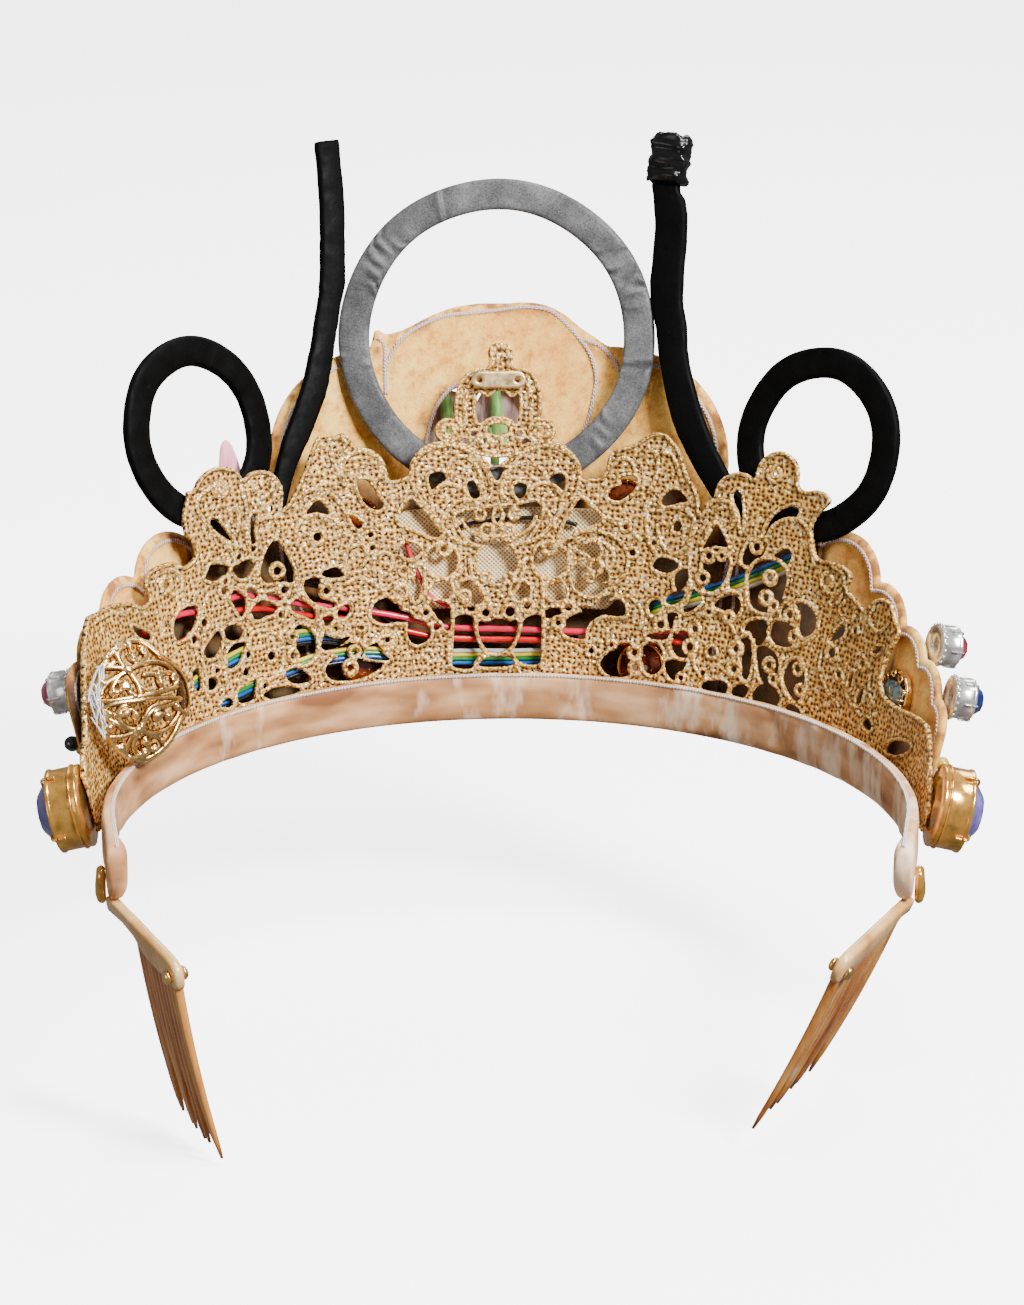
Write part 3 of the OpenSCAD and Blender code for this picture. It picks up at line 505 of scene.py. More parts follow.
def bump(nt, b, height, strength, depth_mm, chain=None):
    """A bump on the shader's normal, on top of an earlier one when chain is given."""
    n = node(nt, "ShaderNodeBump", Strength=strength, Distance=depth_mm * MM)
    nt.links.new(height, n.inputs["Height"])
    if chain is not None:
        nt.links.new(chain, n.inputs["Normal"])
    nt.links.new(n.outputs["Normal"], b.inputs["Normal"])
    return n.outputs["Normal"]


def roughen(nt, b, scale, detail, *stops):
    """Roughness that changes with a noise: each stop is a position and a roughness."""
    grades = [(at, (rough,)) for at, rough in stops]
    nt.links.new(ramp(nt, noise(nt, scale, detail), grades), b.inputs["Roughness"])


def tinted(color, share):
    """A colour in 0 to 255, darkened to a share."""
    return tuple(int(c * share) for c in color)


def srgb(r, g, b):
    """The linear colour of one given in 0 to 255."""
    return tuple(((c / 255 + 0.055) / 1.055) ** 2.4 if c > 10 else c / 3294.6 for c in (r, g, b))


NET_PITCH, BEAD_PITCH = 1.06, 0.6     # of the lace's net and of the beads of its cords, in millimetres


def gold_lace():
    """Gold net with beaded cords, by the attributes near, along and up of its cloth."""
    m, nt, b = new_look("lace_gold_thread", srgb(206, 170, 112), 0.42, 0.3)
    v = coords(nt)
    near = attribute(nt, "near")
    flat = node(nt, "ShaderNodeCombineXYZ", X=attribute(nt, "along"), Y=attribute(nt, "up")).outputs[0]
    net = node(nt, "ShaderNodeTexVoronoi", voronoi_dimensions="2D", Scale=1 / NET_PITCH, Randomness=0.55)
    nt.links.new(flat, net.inputs["Vector"])
    pin = net.outputs["Distance"]
    bead = cells(nt, 1 / (BEAD_PITCH * MM), v)
    fleck = cells(nt, 1900, v, "Color")
    # Painted shade: the net's pinholes are near-black, standing for the shade seen through holes in the cloth
    ground = ramp(nt, pin, [(0.0, srgb(34, 16, 4)), (0.18, srgb(60, 34, 10)), (0.28, srgb(160, 106, 40)),
                            (0.45, srgb(216, 156, 66)), (0.62, srgb(248, 202, 112))])
    # Painted highlight at each bead's centre and painted shade at its edges
    corded = ramp(nt, bead, [(0.0, srgb(255, 240, 188)), (0.3, srgb(255, 218, 134)),
                             (0.55, srgb(224, 162, 70)), (0.85, srgb(104, 60, 14))])
    on_cord = ramp(nt, near, [(0.0, (1,)), (0.34, (1,)), (0.46, (0,))])
    col = mix(nt, ground, corded, on_cord)
    # Painted shadow: a darker band along either side of each cord
    cord_painted_shadow = ramp(nt, near, [(0.34, (1,)), (0.48, (0.3,)), (0.6, (0.5,)), (0.8, (1,))])
    col = mix(nt, col, cord_painted_shadow, 1.0, "MULTIPLY")
    # Painted glints: pale cream flecks where the fleck noise is high
    light = ramp(nt, fleck, [(0.0, (0, 0, 0)), (0.78, (0, 0, 0)), (0.86, (1, 1, 1))])
    dark = ramp(nt, fleck, [(0.0, (0.3,)), (0.2, (0.4,)), (0.3, (1,))])
    col = mix(nt, mix(nt, col, dark, 0.8, "MULTIPLY"), srgb(255, 238, 186), light)
    tone = ramp(nt, noise(nt, 70, 3, 0.5, v), [(0.3, (0.8,)), (0.7, (1.06,))])
    nt.links.new(mix(nt, col, tone, 1.0, "MULTIPLY"), b.inputs["Base Color"])
    first = bump(nt, b, pin, 0.8, 0.3)
    bump(nt, b, bead, 0.9, -0.26, first)
    rough = ramp(nt, fleck, [(0.0, (0.5,)), (0.6, (0.4,)), (0.74, (0.22,))])
    nt.links.new(rough, b.inputs["Roughness"])
    return m


def gold_metal(name, color, rough, metal=1.0):
    m, nt, b = new_look(name, srgb(*color), rough, metal)
    dirt = ramp(nt, noise(nt, 420, 4), [(0.3, srgb(*tinted(color, 0.72))), (0.6, srgb(*color))])
    nt.links.new(dirt, b.inputs["Base Color"])
    roughen(nt, b, 900, 3, (0.3, rough * 0.8), (0.75, rough * 1.5))
    bump(nt, b, noise(nt, 1400, 2), 0.25, 0.06)
    return m


# Painted highlights on the velvet: pale streaks of sheen
SHEEN_LEAN = 1.3     # how much the streaks grow with a metre to the right


def velvet():
    m, nt, b = new_look("velvet_champagne", srgb(196, 138, 88), 0.66, 0.0, Sheen_Weight=0.25,
                        Sheen_Roughness=0.35)
    b.inputs["Sheen Tint"].default_value = (*srgb(255, 224, 190), 1)
    v = coords(nt)
    crush = noise(nt, 110, 3, 0.55, v)
    streak = noise(nt, 60, 2, 0.5, stretched(nt, v, (1, 1, 3.2)))
    col = ramp(nt, streak, [(0.3, srgb(138, 84, 44)), (0.48, srgb(196, 138, 88)),
                            (0.66, srgb(234, 182, 132))])
    # Painted highlights: pale streaks of sheen, more of them to the right
    sheen_noise = noise(nt, 170, 3, 0.6, stretched(nt, v, (1, 1, 0.4)))
    across = node(nt, "ShaderNodeSeparateXYZ", Vector=v).outputs[0]
    leaning = maths(nt, "MULTIPLY_ADD", across, SHEEN_LEAN, sheen_noise)
    painted_sheen = ramp(nt, leaning, [(0.54, (0,)), (0.72, (0.85,))])
    col = mix(nt, col, srgb(255, 226, 194), painted_sheen)
    nap = ramp(nt, noise(nt, 5200, 2), [(0.3, (0.88,)), (0.7, (1.06,))])
    nt.links.new(mix(nt, col, nap, 1.0, "MULTIPLY"), b.inputs["Base Color"])
    first = bump(nt, b, noise(nt, 5200, 2), 0.35, 0.12)
    bump(nt, b, crush, 0.35, 0.7, first)
    return m


def felt():
    """Tan felt, stained where the attribute edge is high, with painted shade where the attribute shade is
    high.
    """
    m, nt, b = new_look("felt_tan", srgb(244, 200, 146), 0.95, 0.0, Sheen_Weight=0.12)
    fuzz = noise(nt, 3000, 4, 0.7)
    patch = noise(nt, 70, 3)
    col = ramp(nt, patch, [(0.3, srgb(250, 184, 88)), (0.55, srgb(255, 207, 108)),
                           (0.75, srgb(255, 222, 128))])
    mottle = ramp(nt, noise(nt, 330, 5, 0.75), [(0.36, srgb(214, 176, 134)), (0.5, srgb(246, 232, 214)),
                                                (0.64, (1, 1, 1))])
    col = mix(nt, col, mottle, 1.0, "MULTIPLY")
    edge = attribute(nt, "edge")
    stain = ramp(nt, noise(nt, 260, 3, 0.6), [(0.46, (0, 0, 0)), (0.62, (1, 1, 1))])
    col = mix(nt, col, mix(nt, col, srgb(158, 96, 44), stain), edge)
    # Painted shade: near-black brown where the felt lies in shade behind the lace
    painted_shade_colour = ramp(nt, noise(nt, 200, 3, 0.6), [(0.3, srgb(14, 8, 4)), (0.5, srgb(44, 24, 10)),
                                              (0.66, srgb(96, 52, 18))])
    col = mix(nt, col, painted_shade_colour, attribute(nt, "shade"))
    speck = ramp(nt, fuzz, [(0.32, (0.8,)), (0.5, (1.0,)), (0.72, (1.08,))])
    nt.links.new(mix(nt, col, speck, 1.0, "MULTIPLY"), b.inputs["Base Color"])
    first = bump(nt, b, fuzz, 0.5, 0.25)
    bump(nt, b, noise(nt, 260, 3), 0.4, 0.7, first)
    return m


def thread(name, color):
    m, nt, b = new_look(name, srgb(*color), 0.8, 0.0, Sheen_Weight=0.3)
    twist = node(nt, "ShaderNodeTexWave", Scale=900.0, Distortion=2.0, Detail=1.0)
    nt.links.new(coords(nt), twist.inputs["Vector"])
    shades = [(0.1, srgb(*tinted(color, 0.78))), (0.6, srgb(*color))]
    nt.links.new(ramp(nt, twist.outputs["Fac"], shades), b.inputs["Base Color"])
    bump(nt, b, twist.outputs["Fac"], 0.6, 0.15)
    return m


def woven():
    """A weave by the attributes along and up, which hold its phase."""
    m, nt, b = new_look("mesh_pale_gold", srgb(240, 218, 170), 0.4, 0.15)
    warp, weft = maths(nt, "SINE", attribute(nt, "along")), maths(nt, "SINE", attribute(nt, "up"))
    rise = maths(nt, "MULTIPLY_ADD", maths(nt, "MULTIPLY", warp, weft), 0.5, 0.5)
    col = ramp(nt, rise, [(0.08, srgb(132, 92, 44)), (0.3, srgb(226, 190, 126)),
                          (0.7, srgb(255, 232, 182)), (0.95, srgb(255, 246, 214))])
    tone = ramp(nt, noise(nt, 160, 2), [(0.3, (0.86,)), (0.7, (1.05,))])
    nt.links.new(mix(nt, col, tone, 1.0, "MULTIPLY"), b.inputs["Base Color"])
    bump(nt, b, rise, 0.7, 0.25)
    return m


def foam(name, color, rough, wear, shine=0.15):
    """Foam or tape in patches, with pale scuffs; wear is how strong they are."""
    m, nt, b = new_look(name, srgb(*color), rough, 0.0, Specular_IOR_Level=shine)
    patch = noise(nt, 130, 4, 0.6)
    bright = tuple(min(255, c + 3) for c in tinted(color, 1.22))
    col = ramp(nt, patch, [(0.3, srgb(*tinted(color, 0.72))), (0.52, srgb(*color)), (0.72, srgb(*bright))])
    scuff = ramp(nt, noise(nt, 900, 3, 0.7), [(0.66, (0,)), (0.8, (1,))])
    grain = ramp(nt, noise(nt, 3200, 2, 0.8), [(0.36, (0.62,)), (0.5, (1.0,)), (0.64, (1.35,))])
    scuffed = maths(nt, "MULTIPLY", scuff, wear)
    col = mix(nt, mix(nt, col, grain, 1.0, "MULTIPLY"), srgb(150, 148, 150), scuffed)
    nt.links.new(col, b.inputs["Base Color"])
    roughen(nt, b, 300, 3, (0.3, rough * 0.75), (0.75, rough * 1.3))
    first = bump(nt, b, noise(nt, 1500, 3), 0.35, 0.12)
    bump(nt, b, patch, 0.5, 0.6, first)
    return m


def plastic(name, color):
    m, nt, b = new_look(name, srgb(*color), 0.24, 0.0, Coat_Weight=0.3, Coat_Roughness=0.15)
    shades = [(0.35, srgb(*tinted(color, 0.86))), (0.6, srgb(*color))]
    nt.links.new(ramp(nt, noise(nt, 500, 2), shades), b.inputs["Base Color"])
    bump(nt, b, noise(nt, 700, 2), 0.12, 0.1)
    return m


def glass(name, color, deep):
    m, nt, b = new_look(name, srgb(*color), 0.06, 0.0, IOR=1.55, Transmission_Weight=0.35,
                        Coat_Weight=0.5)
    depths = [(0.35, srgb(*deep)), (0.65, srgb(*color))]
    nt.links.new(ramp(nt, noise(nt, 260, 2), depths), b.inputs["Base Color"])
    roughen(nt, b, 800, 1, (0.3, 0.04), (0.8, 0.12))
    return m


def filigree():
    """Gold by the attribute rise, with painted shade in its hollows and a painted highlight on its ridges."""
    m, nt, b = new_look("gold_filigree", srgb(244, 190, 108), 0.24, 1.0)
    rise = ramp(nt, attribute(nt, "rise"), [(0.0, srgb(48, 24, 6)), (0.32, srgb(132, 76, 24)),
                                            (0.62, srgb(226, 164, 82)), (0.95, srgb(255, 216, 146))])
    dirt = ramp(nt, noise(nt, 500, 3), [(0.3, (0.75,)), (0.65, (1,))])
    nt.links.new(mix(nt, rise, dirt, 1.0, "MULTIPLY"), b.inputs["Base Color"])
    roughen(nt, b, 900, 3, (0.3, 0.2), (0.75, 0.38))
    bump(nt, b, noise(nt, 1400, 2), 0.25, 0.06)
    return m


def horn(name, stops, base):
    m, nt, b = new_look(name, srgb(*base), 0.2, 0.0, Subsurface_Weight=0.2, IOR=1.5, Coat_Weight=0.4,
                        Subsurface_Radius=(0.003, 0.0016, 0.0007), Coat_Roughness=0.12)
    streak = noise(nt, 150, 3, 0.6, stretched(nt, coords(nt), (1, 1, 0.2)))
    nt.links.new(ramp(nt, streak, [(p, srgb(*c)) for p, c in stops]), b.inputs["Base Color"])
    roughen(nt, b, 600, 2, (0.3, 0.14), (0.8, 0.34))
    bump(nt, b, streak, 0.2, 0.3)
    return m


def plant(name, color, deep):
    m, nt, b = new_look(name, srgb(*color), 0.6, 0.0, Sheen_Weight=0.2)
    vein = noise(nt, 300, 3, 0.6, stretched(nt, coords(nt), (3, 1, 0.5)))
    nt.links.new(ramp(nt, vein, [(0.32, srgb(*deep)), (0.62, srgb(*color))]), b.inputs["Base Color"])
    bump(nt, b, vein, 0.4, 0.3)
    return m


LACE = gold_lace()
FILIGREE = filigree()
GOLD_PALE = gold_metal("gold_pale", (244, 196, 116), 0.26)
WARM_GOLD = gold_metal("gold_warm", (255, 206, 128), 0.24)
BEZEL_GOLD = gold_metal("gold_bezel", (252, 186, 88), 0.15, 0.8)
DEEP_GOLD = gold_metal("gold_deep", (214, 140, 60), 0.2)
PLATE_GOLD = gold_metal("gold_plate", (255, 222, 164), 0.42)
SILVER = gold_metal("silver_metal", (224, 222, 220), 0.2, 0.72)
VELVET, FELT = velvet(), felt()
FELT_THREAD = thread("felt_thread", (226, 196, 186))
PIPING = thread("piping_thread", (228, 206, 190))
WHITE_THREAD = thread("white_thread", (236, 236, 240))
POCKET = woven()
GREY = foam("foam_grey", (84, 84, 85), 0.42, 0.5)
BLACK = foam("foam_black", (4, 4, 4), 0.6, 0.02, 0.06)
TAPE = foam("tape_black", (9, 9, 10), 0.24, 0.1, 0.3)
VIOLET = glass("stone_violet", (140, 126, 212), (86, 74, 158))
PINK_STONE = glass("stone_pink", (232, 96, 150), (150, 30, 80))
RED_STONE = glass("stone_red", (206, 30, 70), (120, 8, 30))
BLUE_STONE = glass("stone_blue", (44, 76, 176), (16, 30, 96))
AMBER = glass("stone_amber", (176, 76, 14), (84, 26, 6))
TEAL = glass("stone_teal", (120, 140, 138), (44, 62, 66))
JET = glass("bead_jet", (20, 20, 24), (8, 8, 10))
LEMON = glass("bead_lemon", (236, 208, 60), (190, 150, 20))
HORN_SPINE = horn("comb_horn_spine", ((0.3, (182, 124, 60)), (0.5, (206, 158, 94)), (0.7, (224, 188, 130))),
                  (222, 190, 142))
HORN_TEETH = horn("comb_horn_teeth", ((0.3, (130, 66, 18)), (0.48, (176, 104, 36)), (0.64, (200, 142, 70)),
                                      (0.78, (200, 178, 160))), (190, 124, 58))
STEM = plant("stem_green", (132, 178, 84), (74, 118, 44))
PETAL = plant("petal_pink", (240, 164, 180), (212, 104, 134))
PETAL_GREY = plant("petal_grey", (176, 146, 134), (96, 66, 54))
WIRES = {
    "pink": plastic("wire_pink", (226, 36, 74)),
    "red": plastic("wire_red", (196, 6, 14)),
    "black": plastic("wire_black_insulation", (10, 10, 12)),
    "white": plastic("wire_white", (206, 200, 190)),
    "yellow": plastic("wire_yellow", (216, 196, 40)),
    "green": plastic("wire_green", (10, 124, 62)),
    "blue": plastic("wire_blue", (18, 88, 172)),
}


# Lace: openings, rings and cords placed by the photograph's pixels
LACE_TOP_PX = [
    (86, 628), (98, 612), (114, 604), (130, 602), (144, 606), (151, 598), (146, 586), (149, 573),
    (160, 565), (174, 562), (186, 566), (196, 556), (195, 545), (187, 536), (184, 522), (185, 508),
    (188, 498), (187, 492), (194, 490), (198, 482), (205, 473), (216, 467), (229, 467), (239, 472),
    (244, 479), (250, 473), (262, 470), (273, 473), (281, 482), (284, 495), (283, 508), (289, 503),
    (297, 488), (304, 472), (310, 455), (316, 440), (323, 434), (333, 437), (342, 433), (351, 437),
    (355, 446), (364, 447), (375, 451), (384, 460), (388, 471), (390, 480), (399, 479), (408, 475),
    (411, 462), (419, 450), (431, 443), (447, 440), (463, 442), (476, 450), (486, 460), (496, 466),
    (506, 459), (515, 449), (528, 442), (545, 440), (562, 444), (574, 454), (581, 467), (583, 479),
    (592, 478), (601, 477), (606, 466), (608, 457), (616, 449), (630, 445), (641, 439), (651, 433),
    (662, 433), (672, 440), (680, 451), (684, 465), (690, 480), (697, 492), (699, 505), (700, 514),
    (706, 506), (713, 497), (716, 486), (723, 477), (735, 472), (747, 474), (754, 478), (757, 466),
    (766, 455), (779, 451), (791, 456), (798, 468), (798, 486), (806, 491), (817, 490), (827, 495),
    (829, 503), (820, 512), (812, 524), (812, 542), (817, 558), (830, 561), (843, 566), (851, 577),
    (846, 588), (850, 594), (859, 604), (865, 610), (872, 601), (882, 598), (891, 604), (894, 618),
    (898, 632), (892, 646), (886, 658), (881, 672), (880, 686), (885, 698), (897, 707), (910, 713),
    (920, 719), (927, 731)]
LACE_ENDS = [[(-88.5, 13), (-85, 16.5), (-81.5, 19)], [(86.5, 9), (88.5, 6)]]

OPENINGS_PX = [
    # Left fan and its foot
    [(210, 522), (217, 520), (226, 530), (236, 545), (230, 540), (218, 532)],
    [(257, 515), (255, 530), (256, 544), (252, 543), (251, 525), (252, 516)],
    [(206, 578), (209, 570), (212, 565), (228, 566), (228, 575), (222, 579), (214, 581)],
    [(233, 568), (240, 564), (248, 560), (257, 561), (254, 568), (247, 578), (238, 577)],
    [(276, 540), (284, 549), (290, 560), (295, 573), (294, 582), (286, 583), (277, 582), (267, 583),
     (261, 575), (263, 562), (268, 549)],
    [(231, 597), (235, 590), (241, 593), (247, 600), (246, 610), (243, 617), (236, 608)],
    [(247, 590), (253, 588), (259, 596), (252, 599)],
    [(264, 595), (274, 593), (284, 600), (274, 600)],
    [(251, 612), (258, 603), (266, 601), (276, 606), (286, 612), (281, 615), (270, 615), (262, 619),
     (254, 619)],
    [(291, 605), (298, 599), (306, 602), (316, 612), (315, 620), (305, 616), (295, 612)],
    [(305, 582), (314, 578), (321, 580), (319, 588), (324, 598), (335, 603), (334, 608), (322, 606),
     (310, 598), (305, 590)],
    [(338, 612), (344, 606), (350, 605), (350, 612), (345, 618), (339, 617)],
    [(321, 619), (331, 616), (334, 620), (327, 626), (322, 624)],
    [(174, 626), (177, 616), (185, 609), (195, 606), (199, 612), (196, 625), (190, 635), (180, 641),
     (175, 636)],
    [(133, 626), (141, 629), (151, 634), (152, 640), (143, 638), (136, 633)],
    [(204, 652), (211, 640), (219, 631), (223, 640), (218, 655), (209, 658)],
    [(225, 630), (233, 625), (242, 628), (244, 634), (238, 640), (228, 639)],
    [(228, 652), (236, 644), (247, 643), (244, 652), (240, 664), (230, 669), (228, 661)],
    [(193, 673), (199, 668), (202, 679), (202, 690), (197, 690), (194, 682)],
    [(238, 693), (248, 684), (257, 680), (256, 690), (254, 700), (241, 703)],
    [(221, 706), (227, 699), (234, 700), (232, 707)],
    [(293, 632), (300, 625), (309, 628), (315, 636), (317, 647), (314, 658), (306, 664), (299, 662),
     (297, 650), (296, 640)],
    [(320, 634), (324, 628), (328, 636), (340, 639), (350, 637), (345, 643), (332, 650), (322, 648)],
    [(334, 652), (342, 646), (352, 643), (362, 646), (364, 655), (354, 660), (342, 658)],
    [(366, 650), (372, 645), (381, 643), (383, 653), (391, 660), (378, 660), (368, 658)],
    [(326, 670), (332, 661), (344, 657), (358, 658), (370, 662), (384, 664), (374, 673), (360, 679),
     (344, 681), (331, 679)],
    [(264, 694), (276, 688), (290, 687), (302, 690), (290, 696), (272, 699)],
    [(286, 673), (296, 668), (306, 672), (312, 680), (300, 684), (290, 681)],
    [(205, 681), (213, 678), (219, 683), (214, 690), (206, 688)],
    # Left of the middle
    [(307, 513), (312, 505), (318, 501), (325, 505), (331, 517), (326, 518), (318, 512), (311, 514)],
    [(357, 482), (366, 480), (373, 487), (379, 498), (384, 504), (380, 510), (371, 508), (363, 500)],
    [(349, 516), (355, 518), (363, 524), (360, 529), (354, 525)],
    [(322, 574), (330, 569), (338, 568), (344, 576), (331, 578)],
    [(372, 613), (376, 603), (387, 598), (397, 602), (401, 610), (411, 614), (413, 622), (398, 622),
     (384, 624), (374, 619)],
    [(411, 619), (424, 622), (431, 632), (428, 640), (418, 645), (410, 640), (408, 630)],
    [(399, 521), (404, 508), (411, 499), (422, 510), (436, 526), (441, 536), (433, 537), (422, 532),
     (410, 527)],
    [(400, 548), (408, 543), (418, 546), (420, 553), (412, 558), (404, 556)],
    [(414, 598), (415, 580), (419, 565), (423, 576), (421, 592), (417, 601)],
    [(406, 578), (411, 580), (413, 592), (412, 599), (409, 592)],
    # Palmette
    [(430, 475), (442, 472), (446, 480), (439, 484), (434, 492), (430, 485)],
    [(467, 484), (474, 482), (480, 496), (472, 498)],
    [(516, 484), (526, 485), (525, 495), (519, 499), (514, 492)],
    [(549, 480), (556, 474), (564, 476), (565, 485), (562, 492), (557, 486)],
    [(490, 468), (504, 468), (501, 477), (497, 481), (493, 476)],
    [(457, 515), (470, 511), (484, 509), (500, 507), (514, 507), (528, 503), (538, 503), (541, 511),
     (537, 522), (531, 533), (522, 541), (500, 545), (478, 544), (466, 537), (459, 526)],
    [(497, 543), (509, 547), (516, 557), (516, 569), (508, 580), (497, 584), (486, 580), (478, 569),
     (478, 557), (485, 547)],
    [(549, 543), (560, 548), (566, 559), (564, 570), (555, 577), (543, 576), (535, 568), (534, 556),
     (540, 546)],
    [(443, 545), (453, 549), (457, 561), (453, 573), (441, 577), (431, 572), (426, 561), (431, 549)],
    [(428, 586), (440, 582), (450, 584), (451, 597), (440, 599), (430, 597)],
    [(461, 584), (470, 581), (479, 587), (484, 597), (479, 604), (466, 602), (460, 594)],
    [(560, 541), (565, 524), (573, 509), (582, 498), (592, 508), (602, 520), (590, 526), (576, 532)],
    [(576, 548), (584, 541), (594, 543), (600, 551), (594, 560), (586, 553)],
    [(571, 575), (578, 563), (590, 560), (602, 566), (608, 577), (604, 590), (590, 596), (577, 590)],
    [(578, 606), (592, 607), (604, 597), (616, 597), (624, 606), (623, 616), (602, 615), (586, 613)],
    [(548, 584), (556, 581), (564, 586), (565, 597), (556, 601), (548, 596)],
    [(512, 586), (520, 582), (528, 586), (529, 597), (520, 601), (513, 597)],
    [(429, 604), (438, 601), (448, 605), (451, 614), (452, 627), (447, 631), (440, 621), (434, 612)],
    [(455, 618), (465, 615), (473, 618), (475, 628), (477, 640), (481, 650), (485, 655), (479, 662),
     (474, 668), (462, 669), (452, 665), (450, 650), (452, 632)],
    [(479, 622), (500, 619), (519, 622), (517, 634), (512, 646), (505, 652), (495, 654), (486, 650),
     (481, 640)],
    [(479, 666), (487, 658), (500, 656), (509, 658), (514, 664), (500, 667)],
    [(525, 619), (541, 616), (542, 640), (541, 661), (533, 665), (520, 662), (514, 654), (513, 647),
     (519, 638), (522, 630)],
    [(468, 606), (477, 605), (475, 611), (469, 611)],
    [(543, 612), (554, 608), (563, 611), (556, 617), (545, 618)],
    [(564, 622), (574, 615), (588, 611), (603, 613), (590, 622), (585, 632), (584, 639), (572, 638),
     (563, 633)],
    # Right of the middle
    [(608, 497), (611, 489), (621, 485), (620, 478), (631, 476), (637, 480), (634, 489), (627, 496),
     (617, 501)],
    [(661, 504), (664, 495), (672, 490), (680, 492), (687, 501), (678, 503), (669, 506)],
    [(673, 524), (678, 521), (681, 526), (678, 532), (673, 530)],
    [(652, 566), (658, 558), (671, 560), (678, 566), (668, 573), (658, 571)],
    [(675, 574), (685, 569), (688, 576), (684, 587), (677, 591), (674, 584)],
    [(665, 601), (671, 593), (684, 591), (681, 600), (671, 605)],
    [(649, 603), (657, 600), (661, 607), (655, 615), (649, 612)],
    [(682, 610), (689, 592), (694, 590), (701, 599), (697, 606), (688, 612)],
    [(702, 548), (709, 535), (716, 525), (723, 535), (729, 546), (722, 547), (712, 546), (705, 552)],
    [(703, 560), (712, 550), (722, 550), (728, 560), (727, 572), (723, 583), (713, 591), (704, 590),
     (701, 578), (702, 568)],
    [(729, 576), (735, 565), (746, 572), (746, 583), (738, 590), (729, 590)],
    [(747, 573), (756, 563), (770, 560), (782, 566), (786, 578), (783, 594), (779, 607), (768, 612),
     (755, 610), (747, 600), (746, 586)],
    [(741, 562), (744, 550), (751, 541), (762, 540), (765, 550), (758, 560), (750, 566)],
    [(768, 561), (776, 553), (787, 549), (791, 556), (787, 566), (783, 576), (779, 568)],
    [(713, 606), (720, 598), (730, 595), (739, 600), (739, 612), (730, 617), (722, 610)],
    [(743, 630), (748, 622), (763, 620), (767, 628), (764, 640), (757, 646), (752, 642), (749, 632)],
    [(738, 641), (748, 638), (751, 650), (750, 668), (746, 679), (740, 675), (740, 655)],
    [(755, 650), (762, 646), (769, 649), (776, 656), (778, 668), (775, 682), (768, 685), (760, 680),
     (756, 665)],
    [(769, 626), (777, 621), (787, 624), (795, 630), (797, 641), (786, 647), (775, 645), (768, 637)],
    [(795, 604), (804, 604), (812, 611), (816, 622), (812, 633), (802, 637), (797, 628), (799, 614)],
    [(783, 620), (780, 611), (786, 605), (794, 610), (795, 619), (789, 624)],
    [(764, 684), (775, 689), (779, 699), (774, 708), (763, 711), (753, 705), (751, 695), (756, 687)],
    [(783, 672), (788, 662), (798, 660), (803, 668), (804, 682), (802, 695), (795, 701), (787, 693),
     (782, 682)],
    [(784, 707), (790, 704), (800, 712), (797, 720), (789, 716)],
    [(600, 662), (609, 652), (621, 644), (631, 645), (636, 656), (634, 670), (624, 677), (610, 676),
     (602, 670)],
    [(640, 652), (646, 644), (656, 644), (662, 654), (661, 667), (653, 675), (644, 671), (641, 662)],
    [(664, 663), (675, 660), (686, 662), (681, 672), (677, 681), (668, 677)],
    [(646, 636), (655, 633), (672, 631), (673, 638), (656, 640)],
    [(667, 614), (677, 614), (677, 622), (671, 630), (667, 624)],
    [(676, 634), (684, 631), (690, 640), (695, 650), (688, 659), (677, 657), (671, 648), (672, 640)],
    [(732, 497), (738, 490), (741, 500), (742, 520), (741, 532), (738, 515)],
    [(797, 506), (796, 517), (784, 520), (773, 524), (763, 538), (768, 522), (781, 510)],
    [(830, 604), (833, 597), (840, 592), (837, 600)],
    [(828, 641), (835, 631), (843, 624), (843, 635), (833, 640)],
    [(871, 652), (877, 647), (882, 647), (877, 653)],
    [(847, 686), (849, 676), (852, 671), (852, 680), (849, 688)],
    [(855, 703), (858, 692), (863, 686), (862, 697), (858, 705)],
    [(862, 724), (866, 718), (871, 726), (868, 731)],
    [(884, 748), (891, 741), (905, 742), (910, 748), (900, 754), (889, 754)],
    [(700, 686), (712, 680), (726, 684), (724, 694), (708, 694)],
    [(730, 690), (740, 684), (748, 690), (742, 698), (733, 697)]]

